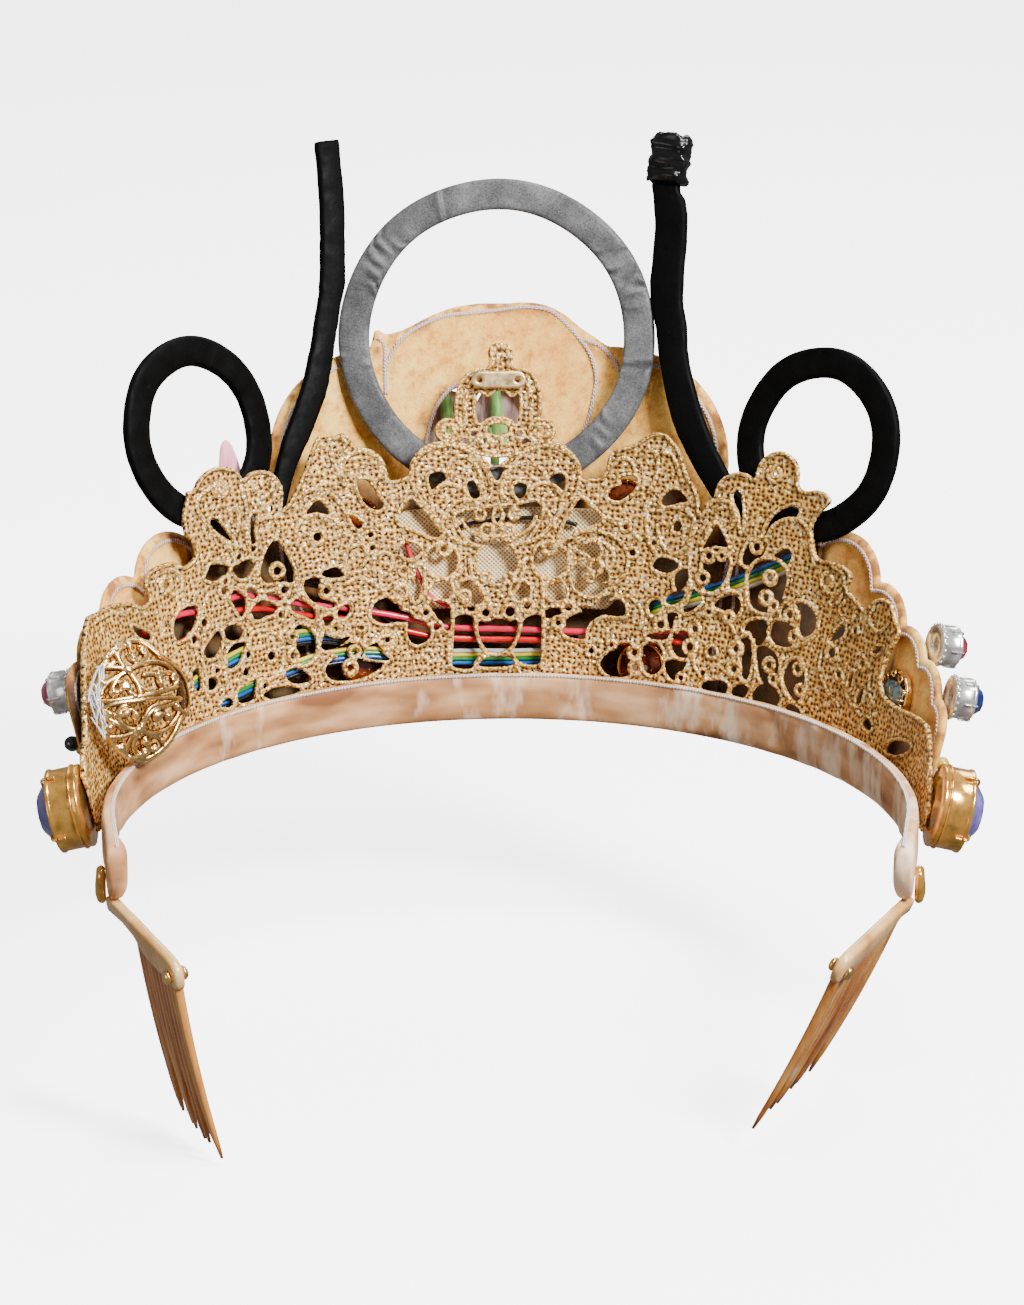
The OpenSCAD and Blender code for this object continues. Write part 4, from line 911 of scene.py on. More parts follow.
# Small rings: pixel, outer radius in millimetres, radius of the hole
RINGS_PX = [
    (278, 571, 1.9, 0.8), (285, 590, 1.7, 0.7), (225, 591, 1.6, 0.7), (205, 623, 1.7, 0.7),
    (195, 640, 1.9, 0.7), (226, 582, 1.4, 0.5), (281, 615, 1.4, 0.5), (336, 629, 1.7, 0.5),
    (355, 652, 1.6, 0.6), (351, 668, 1.9, 0.6), (294, 656, 1.6, 0.6), (293, 637, 1.5, 0.5),
    (218, 671, 1.6, 0.5), (249, 655, 1.4, 0.6), (247, 672, 1.4, 0.7), (266, 686, 1.4, 0.5),
    (327, 591, 1.8, 0.6), (318, 537, 1.9, 0.8), (271, 509, 1.0, 0.5), (254, 549, 1.0, 0.5),
    (240, 557, 1.0, 0.5), (221, 489, 2.0, 0.3), (167, 585, 2.0, 0.8), (272, 656, 1.6, 0.8),
    (402, 592, 1.8, 0.7), (426, 613, 1.5, 0.5), (437, 627, 1.5, 0.6), (404, 571, 1.2, 0.5),
    (373, 548, 1.3, 0.5), (371, 535, 1.2, 0.5), (362, 628, 1.3, 0.4), (388, 640, 2.2, 0.5),
    (480, 515, 1.4, 0.5), (514, 514, 1.4, 0.5), (487, 531, 1.7, 0.6), (508, 531, 1.7, 0.6),
    (549, 548, 1.8, 0.6), (444, 549, 1.8, 0.6), (465, 596, 1.5, 0.5), (486, 613, 1.9, 0.7),
    (510, 612, 1.9, 0.9), (527, 606, 1.7, 0.6), (595, 567, 1.9, 0.7), (568, 608, 1.7, 0.6),
    (485, 578, 1.4, 0.4), (509, 578, 1.4, 0.4), (558, 623, 1.6, 0.5), (590, 578, 1.3, 0.4),
    (625, 527, 1.3, 0.5), (632, 553, 1.4, 0.6), (653, 543, 1.2, 0.5), (611, 645, 1.3, 0.4),
    (708, 556, 1.7, 0.6), (721, 556, 1.3, 0.4), (702, 578, 1.6, 0.7), (769, 578, 1.8, 0.6),
    (765, 598, 1.8, 0.6), (756, 547, 1.7, 0.7), (694, 629, 1.7, 0.6), (708, 612, 1.5, 0.4),
    (728, 617, 1.5, 0.4), (735, 649, 1.9, 0.6), (733, 669, 1.9, 0.6), (689, 647, 1.8, 0.7),
    (660, 625, 1.7, 0.7), (711, 652, 1.7, 0.9), (702, 673, 1.2, 0.5), (789, 615, 1.7, 0.6),
    (793, 637, 1.6, 0.5), (768, 665, 1.8, 0.6), (772, 679, 1.3, 0.5), (797, 669, 1.6, 0.6),
    (799, 690, 1.5, 0.5), (634, 653, 1.8, 0.6), (635, 668, 1.8, 0.6), (774, 474, 1.9, 0.3),
    (826, 581, 2.0, 0.9), (831, 653, 2.0, 0.9), (855, 631, 1.3, 0.5), (838, 674, 1.4, 0.5),
    (773, 606, 1.3, 0.5), (591, 651, 1.4, 0.5), (862, 664, 1.6, 0.5), (680, 678, 1.3, 0.5)]

# Raised cords on the cloth and strands across its openings
CORDS_PX = [
    # Palmette volutes and their inner scrolls
    [(471, 545), (455, 540), (443, 528), (432, 512), (421, 500), (414, 487), (412, 472), (419, 456),
     (433, 448), (449, 445), (466, 450), (480, 461), (489, 475), (491, 490), (487, 502)],
    [(524, 543), (538, 538), (550, 526), (560, 512), (570, 500), (578, 488), (580, 472), (574, 458),
     (560, 449), (544, 446), (528, 451), (514, 461), (504, 474), (501, 488), (503, 500)],
    [(433, 512), (431, 498), (438, 488), (449, 484), (461, 488), (466, 498), (462, 506)],
    [(448, 474), (450, 462), (460, 456), (472, 460), (479, 471), (482, 484), (484, 496), (478, 504)],
    [(560, 508), (562, 495), (554, 486), (543, 483), (532, 487), (528, 497)],
    [(506, 500), (505, 486), (509, 473), (519, 464), (532, 463), (543, 470), (547, 480)],
    [(440, 528), (447, 512), (456, 502), (468, 500), (480, 505)],
    [(555, 528), (549, 514), (540, 502), (530, 500), (519, 503)],
    [(497, 505), (493, 517), (497, 526), (503, 517), (499, 506)],
    [(462, 520), (468, 530), (478, 535), (487, 541), (497, 536), (508, 541), (519, 536), (530, 528),
     (536, 517)],
    # Windows' strands in the middle
    [(477, 606), (475, 622), (478, 638), (484, 649), (495, 655), (507, 652), (515, 643), (519, 628),
     (520, 608)],
    [(484, 654), (477, 662), (473, 672)],
    [(509, 653), (515, 660), (518, 671)],
    [(452, 600), (453, 620), (452, 645), (450, 668)],
    [(542, 580), (543, 605), (543, 640), (542, 668)],
    [(470, 560), (472, 575), (480, 590), (490, 602)],
    [(524, 560), (522, 575), (516, 590), (505, 602)],
    [(420, 600), (428, 590), (440, 578), (455, 578), (462, 570)],
    [(569, 545), (571, 560), (566, 574), (556, 582), (545, 584)],
    [(575, 532), (590, 530), (605, 533), (620, 542), (628, 556), (626, 572), (616, 582), (603, 584)],
    [(584, 543), (598, 541), (610, 548), (614, 560), (608, 570)],
    [(583, 498), (598, 512), (614, 522), (630, 530), (640, 540)],
    [(610, 600), (625, 596), (636, 602), (642, 614), (640, 628)],
    # Right scrolls
    [(694, 520), (690, 545), (689, 570), (690, 588), (684, 604), (672, 610)],
    [(700, 545), (712, 522), (722, 530), (730, 552), (728, 575), (721, 590), (736, 594), (744, 605)],
    [(701, 592), (713, 594), (726, 590), (738, 594), (742, 606), (737, 617)],
    [(747, 612), (746, 590), (746, 575), (754, 562), (768, 558), (781, 563), (789, 575)],
    [(676, 618), (672, 632), (667, 643), (671, 655), (682, 660), (694, 657)],
    [(768, 610), (770, 622), (767, 634), (772, 645), (784, 650), (797, 646)],
    [(794, 646), (806, 642), (816, 632), (818, 618), (812, 606), (800, 600), (789, 604)],
    [(752, 640), (753, 655), (755, 672), (752, 686)],
    [(782, 655), (779, 672), (783, 690), (791, 702), (803, 703)],
    [(705, 505), (715, 500), (728, 502), (736, 512), (739, 528)],
    [(765, 540), (772, 526), (786, 519), (800, 521), (808, 532), (810, 548), (814, 566)],
    [(716, 510), (730, 507), (733, 524), (722, 530)],
    [(640, 455), (652, 450), (658, 462), (655, 480), (648, 492)],
    [(612, 466), (622, 458), (632, 462), (636, 474)],
    [(662, 452), (672, 456), (678, 470), (682, 484)],
    [(645, 505), (646, 520), (648, 540), (656, 555)],
    [(657, 512), (672, 507), (688, 512), (694, 524), (690, 540), (680, 552), (668, 552), (660, 540),
     (657, 525)],
    [(820, 655), (819, 670), (826, 690), (838, 705)],
    [(846, 660), (842, 680), (848, 700), (860, 715)],
    [(862, 655), (870, 670), (868, 690), (874, 706)],
    [(832, 566), (842, 574), (843, 586), (834, 594), (822, 592)],
    [(845, 600), (838, 612), (848, 622), (856, 612)],
    [(874, 606), (868, 620), (878, 632), (888, 622)],
    # Left scrolls
    [(298, 545), (297, 530), (303, 519), (318, 515), (332, 519), (339, 530), (339, 545)],
    [(303, 522), (306, 508), (318, 498), (330, 505), (336, 517), (341, 531)],
    [(342, 478), (344, 462), (354, 453), (368, 452), (379, 460), (381, 474), (372, 484)],
    [(330, 440), (332, 455), (337, 470), (345, 485)],
    [(344, 438), (347, 452)],
    [(300, 497), (313, 489), (327, 491), (338, 500), (346, 512), (353, 528)],
    [(350, 575), (345, 560), (350, 548), (362, 545), (368, 556), (362, 566)],
    [(375, 575), (374, 560), (382, 552), (392, 556), (392, 568), (384, 576)],
    [(385, 590), (398, 582), (410, 578)],
    [(345, 585), (358, 578), (372, 582), (384, 592), (396, 602)],
    [(205, 520), (198, 508), (201, 496), (212, 488)],
    [(262, 498), (272, 492), (274, 480)],
    [(243, 490), (248, 510), (247, 530), (250, 548), (254, 562)],
    [(262, 520), (272, 517), (279, 526), (276, 540)],
    [(237, 505), (240, 520), (238, 535)],
    [(212, 532), (222, 540), (230, 548), (236, 560)],
    [(260, 560), (258, 575), (262, 590), (268, 600)],
    [(296, 575), (298, 590), (306, 600), (318, 608)],
    [(248, 600), (250, 612), (254, 622), (250, 632)],
    [(318, 612), (324, 628), (320, 645), (321, 660)],
    [(222, 655), (226, 672), (228, 690)],
    [(203, 660), (207, 678), (208, 698)],
    [(250, 650), (252, 635), (264, 630), (276, 634), (284, 645), (284, 660), (280, 673), (268, 680),
     (256, 676), (250, 664)],
    [(690, 632), (700, 614), (716, 611), (729, 622), (735, 640), (732, 660), (722, 674), (708, 679),
     (696, 670), (690, 652)],
    [(96, 622), (112, 613), (128, 614)],
    [(155, 580), (160, 573), (172, 570), (182, 577), (182, 589), (172, 596)]]

LACE_WALL = Wall(LACE_R0, LACE_LEAN)
LACE_LOW, LACE_HIGH, LACE_CELL, CROWN_CELL = 1.4, 61.0, 0.34, 0.22
CORD_HALF, CORD_IN = 0.42, 0.3     # half a cord's width, and how far inside an edge one runs
# Half the cloth's thickness, and how far a cord stands out inward and outward
CLOTH_HALF, CORD_INWARD, CORD_OUTWARD = 0.2, 0.66, 0.5


def lace_field():
    """The whole lace wall as fields: its grid, its cloth and the distance to the nearest cord."""
    w = LACE_WALL
    g = Field(w.flat(LACE_EDGES[0], 0)[0], w.flat(LACE_EDGES[3], 0)[0], LACE_LOW, LACE_HIGH, LACE_CELL)
    first, last = [[w.flat(*p) for p in end] for end in LACE_ENDS]
    top = spline(first + w.path(LACE_TOP_PX) + last, steps=3)
    feet = [w.flat(LACE_EDGES[0] - 1, LACE_FOOT)], [w.flat(LACE_EDGES[3] + 1, LACE_FOOT)]
    body = -g.signed(feet[0] + top + feet[1])
    hole = g.full(REACH)
    for points in OPENINGS_PX:
        np.minimum(hole, g.signed(spline(w.path(points), True, 3)), out=hole)
    cord = g.full(REACH)
    for points in CORDS_PX:
        g.line(cord, spline(w.path(points), steps=4))
    ring, eye = g.full(REACH), g.full(REACH)
    for x, y, outer, inner in RINGS_PX:
        c = w.px(x, y)
        middle, half = (outer + inner) / 2, (outer - inner) / 2
        np.minimum(ring, np.abs(g.disc(c, middle)) - (half - CORD_HALF), out=ring)
        np.minimum(eye, g.disc(c, inner), out=eye)
    # Cords round the outline and the openings
    edge = np.abs(body - CORD_IN)
    rim = np.abs(hole - CORD_IN)
    cord = np.minimum(cord, ring)
    near = np.minimum(cord, np.where(body > 0, edge, REACH))
    near = np.minimum(near, np.where(body > -CORD_HALF, rim, REACH))
    cloth = np.maximum(np.minimum(body, hole), CORD_HALF - cord)
    cloth = np.minimum(np.minimum(cloth, eye), g.Y - LACE_FOOT)
    return g, cloth, near


def rounding(f, width):
    """A rounded edge: 0 at the edge of a sheet, 1 from this width on."""
    return np.sqrt(np.clip(f / width, 0, 1))


def relief(cloth, near, base, height):
    """Half thickness of corded cloth: thin cloth with rounded edges and a round cord on it."""
    flat = base * rounding(cloth, 0.5)
    cord = height * np.sqrt(np.clip(1 - (near / CORD_HALF) ** 2, 0, 1))
    edge = rounding(cloth, 0.3)
    return np.maximum(flat, cord * np.minimum(1, 0.35 + edge))


def lace_piece(cad, g, cut, cloth, near, base, rests_on):
    """A piece of lace where cut is positive, with the relief of its cloth and cords."""
    o, area, xy = double_sheet(cad + "_cloth", g, cut, LACE_WALL, LACE_T / 2,
                               relief(cloth, near, base, CORD_INWARD),
                               relief(cloth, near, base, CORD_OUTWARD), [LACE],
                               {"near": np.clip(near, 0, REACH), "along": g.X, "up": g.Y})
    place(o, cad, "lace")
    declare(o, area, xy, rests_on)


PANEL_GAP = 0.02
g, cloth, near = lace_field()
for i, cad in enumerate(("lace_left", "lace_centre", "lace_right")):
    lo = LACE_WALL.flat(LACE_EDGES[i], 0)[0] + PANEL_GAP / 2
    hi = LACE_WALL.flat(LACE_EDGES[i + 1], 0)[0] - PANEL_GAP / 2
    cut = np.minimum(cloth, np.minimum(g.X - lo, hi - g.X))
    lace_piece(cad, g, cut, cloth, near, CLOTH_HALF, ["headband"])


# Crown motif above the palmette
CROWN_FRAME_PX = ((425, 400), (570, 400), (500, 462), (500, 330))
CROWN_REACH, CROWN_HALF = 4.0, 0.22
CROWN_OUTER_PX = [
    (455, 446), (454, 425), (455, 402), (457, 389), (461, 380), (468, 372), (477, 368), (488, 366),
    (488, 352), (491, 345), (500, 342), (509, 345), (513, 352), (514, 366), (525, 368), (534, 374),
    (540, 386), (542, 402), (541, 425), (540, 446), (520, 455), (498, 458), (476, 455)]
CROWN_INNER_PX = [
    (479, 423), (476, 410), (477, 398), (480, 393), (485, 397), (490, 397), (495, 392), (500, 391),
    (505, 392), (509, 397), (514, 397), (518, 394), (519, 402), (517, 423), (507, 421), (498, 420),
    (489, 421)]
CROWN_LOW_PX = [(489, 426), (498, 424), (507, 426), (508, 432), (498, 435), (488, 432)]
CROWN_GAPS_PX = [(465, 443, 0.8), (526, 443, 0.8), (474, 434, 0.5), (519, 434, 0.5)]
CROWN_RINGS_PX = [(449, 431, 2.6, 0.5), (541.6, 431, 2.6, 0.5), (484, 441, 1.5, 0.45), (506, 440, 1.5, 0.45)]
CROWN_CORDS_PX = [
    [(493, 366), (493, 353), (496, 348), (500, 347), (505, 348), (508, 353), (508, 366)],
    [(466, 425), (465, 404), (468, 388), (477, 379), (490, 376)],
    [(530, 425), (531, 404), (529, 388), (520, 379), (508, 376)],
    [(479, 430), (487, 421), (498, 418), (510, 421), (516, 431)],
    [(484, 450), (495.7, 454), (508, 450)]]


def crown_field():
    """The crown motif's grid, its cloth and the distance to its nearest cord."""
    w = LACE_WALL
    left, right, low, high = w.path(CROWN_FRAME_PX)
    g = Field(left[0], right[0], low[1], high[1], CROWN_CELL)
    outer = -g.signed(spline(w.path(CROWN_OUTER_PX), True, 3), CROWN_REACH)
    inner = g.signed(spline(w.path(CROWN_INNER_PX), True, 3), CROWN_REACH)
    inner = np.minimum(inner, g.signed(spline(w.path(CROWN_LOW_PX), True, 3), CROWN_REACH))
    for x, y, r in CROWN_GAPS_PX:
        inner = np.minimum(inner, g.disc(w.px(x, y), r))
    cord = g.full(REACH)
    for points in CROWN_CORDS_PX:
        g.line(cord, spline(w.path(points), steps=4))
    cloth = np.minimum(outer, inner)
    near = np.minimum(np.minimum(np.abs(outer - CORD_IN), np.abs(inner - CORD_IN)), cord)
    cloth = np.maximum(cloth, CORD_HALF - cord)
    for x, y, r, hole in CROWN_RINGS_PX:
        disc = -g.disc(w.px(x, y), r)
        cloth = np.maximum(cloth, disc)
        ringed = np.minimum(np.abs(disc - CORD_IN), np.abs(disc - (r - hole - CORD_IN)))
        near = np.where(disc > 0, np.minimum(ringed, np.abs(disc - r * 0.48)), near)
    for x, y, r, hole in CROWN_RINGS_PX:
        cloth = np.minimum(cloth, g.disc(w.px(x, y), hole))
    return g, cloth, near


g, cloth, near = crown_field()
lace_piece("lace_crown", g, cloth, cloth, near, CROWN_HALF, ["lace_centre_cloth"])


# Velvet headband: a padded arc with straight ends, and its stitched piping
def outward(a):
    """The level direction at an azimuth in radians."""
    return np.array([math.sin(a), math.cos(a), 0.0])


BAND_STEP = 1.4


def band_path(offset, trim=0.0):
    """Points and outward directions along the band, at a distance outside its inner face."""
    r = HEAD_R + offset
    arc = rad(BAND_ARC)
    half = int(arc * r / BAND_STEP)
    az = np.linspace(-arc, arc, 2 * half + 1)
    pts = [r * outward(a) for a in az]
    out = [outward(a) for a in az]
    n = int((TAIL_L - trim) / BAND_STEP)
    for side in (-1, 1):
        a = side * arc
        way = np.array([math.cos(a), -math.sin(a), 0]) * side
        more = [r * outward(a) + way * (TAIL_L - trim) * (i + 1) / n for i in range(n)]
        if side < 0:
            pts, out = more[::-1] + pts, [outward(a)] * n + out
        else:
            pts, out = pts + more, out + [outward(a)] * n
    return np.array(pts), np.array(out)


# Folds of the velvet: how far along the band as a share, width in steps, depth
BAND_FOLDS = ((0.7, 1.5, 0.35), (0.735, 2.2, 0.42), (0.765, 1.6, 0.36), (0.28, 2.0, 0.4), (0.31, 1.4, 0.3),
              (0.55, 1.5, 0.22), (0.06, 1.6, 0.5), (0.09, 1.8, 0.4), (0.12, 1.5, 0.3), (0.94, 1.6, 0.5),
              (0.91, 1.8, 0.4), (0.88, 1.5, 0.3))
BAND_END_HEIGHTS = (0.72, 0.93, 1.0)     # of the first rows, as shares


def band_mesh():
    pts, out = band_path(BAND_T / 2)
    n, sides = len(pts), 28
    ex, ez = soft_square(sides, 0.62, 0.42)
    verts = []
    for i in range(n):
        rows_in = min(i, n - 1 - i)
        end = rows_in * BAND_STEP
        grow = BAND_END_HEIGHTS[min(2, rows_in)]
        wob = 0.10 * math.sin(i * 0.37) + 0.07 * math.sin(i * 0.91 + 1.0)
        fold = sum(size * math.exp(-((i - n * c) / w) ** 2) for c, w, size in BAND_FOLDS)
        x = ex * (BAND_T / 2) * (1 + 0.05 * math.sin(i * 0.6 + 0.5)) * np.where(ex > 0, 1.0, 0.7 + 0.3 * grow)
        z = BAND_H / 2 + ez * (BAND_H / 2 - 0.05) * np.where(ez > 0, grow, 1.0)
        z = z + wob * 0.5 * (ez > 0)
        x = x - fold * np.clip(-ex, 0, 1) * np.cos(ez * 1.4 + i)
        x = x - 1.3 * math.exp(-((end - 3.0) / 4.5) ** 2) * np.clip(-ex, 0, 1)
        for k in range(sides):
            verts.append(pts[i] + out[i] * x[k] + np.array([0, 0, z[k]]))
    m = Merge()
    m.add(verts, skin(n, sides, flip=True))
    return m.make("headband_velvet", [VELVET])


band = band_mesh()
place(band, "headband", "velvet")

# Piping: a cord on the band's inner top edge, with slanting stitches over it
PIPING_IN, PIPING_R, STITCH_R = 0.55, 0.34, 0.25
piping = Merge()
pts, out = band_path(PIPING_IN, trim=1.5)
line = pts + np.array([0, 0, BAND_H - 0.28])
piping.tube(line, PIPING_R)
for i in range(len(line) - 1):
    for t in (0.25, 0.75):
        p = line[i] * (1 - t) + line[i + 1] * t + out[i] * -0.26 + np.array([0, 0, 0.1])
        piping.ball(p, STITCH_R, rings=4, sides=6, squash=1.5, axis=(0.4 * out[i][1], -0.4 * out[i][0], 1))
place(piping.make("headband_piping", [PIPING]), slot="velvet")


# Felt: three lobed panels with stitched edges, each hemmed to the lace at its foot
LACE_CREST = np.array(sorted(tuple(LACE_WALL.px(x, y)) for x, y in LACE_TOP_PX))
LACE_OUT = LACE_R0 + LACE_T / math.cos(LACE_WALL.lean)     # the lace's outer face at z = 0
FELT_LOW, HEM_H, HEM_STEP = LACE_FOOT - 0.4, 1.6, 1.5
HEM_IN = LACE_OUT + (FELT_LOW + HEM_H) * LACE_WALL.k + GAP


def felt_piece(cad, w, f, g, az0, az1, hem_reach):
    """A felt panel where f is positive, and the hem that joins its foot to the lace.

    The hem goes from the lace to hem_reach past the felt's inner foot.
    """
    wave = 0.22 * np.sin(g.X * 0.31 + 1.0) * np.sin(g.Y * 0.27)
    roll = 0.2 * np.exp(-((f - 1.5) / 0.8) ** 2)
    body = rounding(f, 0.9) * (FELT_T / 2 - 0.12) + roll
    edge = np.clip(1.6 - f / 1.8, 0, 1)
    # Painted shade: the felt darkens from 4 mm below the lace's crest downward, where it lies in shade behind
    # the lace
    crest = np.interp(g.X / w.ref * LACE_WALL.ref, LACE_CREST[:, 0], LACE_CREST[:, 1])
    shade = np.clip((crest - 4.0 - g.Y) / 6.0, 0, 0.94)
    o, area, xy = double_sheet(cad + "_cloth", g, f, w, FELT_T / 2, body - wave * 0.3, body + wave * 0.3,
                               [FELT], {"edge": edge, "shade": shade})
    # The felt's outer foot lies on a circle that is shifted forward
    outer = FELT_R0 + FELT_LOW * w.k + hem_reach
    verts = []
    az = np.radians(np.arange(az0, az1 + 0.1, HEM_STEP))
    for a in az:
        d = outward(a)
        start = d * HEM_IN
        end = d * (d[1] * w.shift + math.sqrt(max(outer * outer - (w.shift * d[0]) ** 2, 0)))
        low, high = np.array([0, 0, FELT_LOW]), np.array([0, 0, FELT_LOW + HEM_H])
        verts += [start + low, end + low, end + high, start + high]
    m = Merge()
    m.add(verts, skin(len(az), 4, flip=True))
    hem = m.make(cad + "_cloth_hem", [FELT], smooth=False)
    bevel = hem.modifiers.new("soft", "BEVEL")
    bevel.width, bevel.segments = 0.4 * MM, 2
    place(o, cad, "felt")
    place(hem, slot="felt")
    declare(o, area, xy, [hem.name], with_pieces=[hem])


ROPE_R, ROPE_SWAY, ROPE_PITCH, ROPE_STEP = 0.24, 0.26, 1.5, 0.36
ROPE_LEAST, RUN_LEAST = 6, 9     # steps and loop points that a rope needs at least


def rope(m, w, line):
    """Two strands twisted round each other along a flat line on the inner face of a wall."""
    p = np.asarray(line, float)
    at = np.concatenate([[0], np.cumsum(np.linalg.norm(np.diff(p, axis=0), axis=1))])
    s = np.arange(0, at[-1], ROPE_STEP)
    if len(s) < ROPE_LEAST:
        return
    xy = np.stack([np.interp(s, at, p[:, 0]), np.interp(s, at, p[:, 1])], 1)
    way = np.gradient(xy, axis=0)
    way /= np.linalg.norm(way, axis=1)[:, None] + 1e-9
    side = np.stack([-way[:, 1], way[:, 0]], 1)
    for turn in (0, math.pi):
        a = 2 * math.pi * s / ROPE_PITCH + turn
        sway = side * (ROPE_SWAY * np.cos(a))[:, None]
        m.tube(w.point(xy + sway, 0.1 * np.sin(a) - 0.04), ROPE_R, 5, out=[0.3, 0.8, 0.52])


def seam_rope(name, w, g, f, inset, keep):
    """A rope on a sheet's inner face, inset from its edges, where keep says so."""
    m = Merge()
    xy, _, faces, _ = g.sheet(f - inset)
    for loop in edges_of(faces):
        p = xy[loop]
        for _ in range(4):
            p = (np.roll(p, 1, 0) + p + np.roll(p, -1, 0)) / 3
        ok = np.array([keep(q) for q in p])
        if ok.all():
            rope(m, w, np.concatenate([p, p[:1]]))
            continue
        first = int(np.argmin(ok))
        p, ok = np.roll(p, -first, 0), np.roll(ok, -first)
        run = []
        for q, good in zip(list(p) + [p[0]], list(ok) + [False]):
            if good:
                run.append(q)
            else:
                if len(run) >= RUN_LEAST:
                    rope(m, w, run)
                run = []
    return place(m.make(name, [FELT_THREAD], weld=False), slot="felt")


def union(*fields):
    """The field of areas taken together."""
    return np.maximum.reduce(fields)


def between(g, w, az0, az1):
    """Positive between two azimuths of a wall."""
    return np.minimum(g.X - w.flat(az0, 0)[0], w.flat(az1, 0)[0] - g.X)


FELT_EDGE_AZ, FELT_CUT_AZ, FELT_SIDE_AZ = 31.0, 31.35, 31.5
FELT_TOP, FELT_CELL, SIDE_CELL = 82.5, 0.7, 0.6
# Lobes behind the rings: azimuth, height as a share of the ring's, radius
FELT_LOBES = ((-2.6, 0.7, 25.0), (-15.6, 0.642, 24.4), (12.4, 0.638, 24.4))
FELT_PLAIN = 0.58     # height of the straight part, as a share of the ring's
FELT_HOLE_PX = [(426, 462), (430, 430), (438, 404), (451, 391), (470, 384), (495, 381), (515, 387),
                (528, 400), (534, 420), (537, 462), (515, 480), (480, 484), (448, 480)]
FELT_CREST_PX = [(374, 420), (370, 380), (375, 331), (387, 334), (407, 328), (430, 316), (454, 307),
                 (481, 303), (503, 303), (526, 302), (546, 305), (564, 314), (581, 328), (593, 336),
                 (604, 344), (616, 352), (620, 380), (612, 420), (500, 440)]
FELT_ROPES_PX = [
    [(386, 394), (386, 372), (392, 352), (404, 337), (422, 325), (446, 316), (472, 313), (500, 310),
     (525, 307), (548, 310), (562, 320), (577, 336), (589, 352), (596, 374), (594, 395), (588, 420),
     (578, 440), (562, 446)],
    [(378, 338), (384, 345), (385, 362), (386, 394)], [(584, 340), (600, 346), (612, 358), (620, 372)],
    [(422, 470), (426, 442), (434, 412), (447, 392), (462, 382)]]
CREST_REACH = 6.0
w = Wall(FELT_R0, FELT_LEAN, FELT_SHIFT, 89.0)
foot, slope = FELT_LOW / math.cos(w.lean), RING_Z / math.cos(w.lean)
g = Field(w.flat(-FELT_CUT_AZ, 0)[0] - 1, w.flat(FELT_CUT_AZ, 0)[0] + 1, foot - 0.5, FELT_TOP, FELT_CELL)
crest = -g.signed(spline(w.path(FELT_CREST_PX), True, 3), CREST_REACH)
hole = g.signed(spline(w.path(FELT_HOLE_PX), True, 3), CREST_REACH)
lobes = [-g.disc((w.flat(az, 0)[0], h * slope), r) for az, h, r in FELT_LOBES]
f = union(crest, RING_Z * FELT_PLAIN / math.cos(w.lean) - g.Y, *lobes)
f = np.minimum(np.minimum(f, between(g, w, -FELT_CUT_AZ, FELT_CUT_AZ)), np.minimum(g.Y - foot, hole))
felt_piece("felt_centre", w, f, g, -FELT_EDGE_AZ, FELT_EDGE_AZ, 1.5)
middle = w.flat(FELT_LOBES[0][0], 0)[0]
seam_rope("felt_centre_seam", w, g, f, 2.0, lambda p: p[1] > 12 and abs(p[0] - middle) > 25.5)
mg = Merge()
for points in FELT_ROPES_PX:
    rope(mg, w, spline(w.path(points), steps=6))
place(mg.make("felt_centre_ropes", [FELT_THREAD], weld=False), slot="felt")

# Lobes of the side panels from the middle outward: azimuth, height as a share, half width in degrees
SIDE_LOBES = {
    "left": ((-41, 1, 6.5), (-51.5, 0.92, 6.5), (-61.5, 0.81, 6), (-70.5, 0.7, 6), (-78, 0.6, 5.5)),
    "right": ((40, 0.96, 7), (50, 0.91, 7), (58.5, 0.76, 6), (66, 0.64, 6), (73, 0.56, 6), (79, 0.46, 4.5))}
FELT_ENDS = (32.0, 83.5)
for side, lobes in SIDE_LOBES.items():
    sign = -1 if side == "left" else 1
    w = Wall(FELT_R0, SIDE_LEAN, SIDE_SHIFT, 82.0)
    foot = FELT_LOW / math.cos(w.lean)
    a0, a1 = sorted((sign * FELT_ENDS[0], sign * FELT_ENDS[1]))
    g = Field(w.flat(a0, 0)[0] - 1, w.flat(a1, 0)[0] + 1, foot - 0.5, SIDE_H * 1.1, SIDE_CELL)
    parts = []
    for az, h, half in lobes:
        cx, top = w.flat(az, 0)[0], h * SIDE_H / math.cos(w.lean)
        r = rad(half) * (FELT_R0 + SIDE_H * w.k)
        parts.append(-g.disc((cx, top - r), r))
        parts.append(np.minimum(1.08 * r - np.abs(g.X - cx), top - r - g.Y))
    # A straight part from the first lobe to the centre panel
    block = between(g, w, *sorted((lobes[0][0], sign * FELT_SIDE_AZ)))
    parts.append(np.minimum(block, 0.84 * lobes[0][1] * SIDE_H / math.cos(w.lean) - g.Y))
    cut = between(g, w, *sorted((sign * FELT_SIDE_AZ, sign * FELT_ENDS[1])))
    f = np.minimum(np.minimum(union(*parts), cut), g.Y - foot)
    felt_piece(f"felt_{side}", w, f, g, a0, a1, 1.45)
    seam_rope(f"felt_{side}_seam", w, g, f, 1.8, lambda p: p[1] > 9)

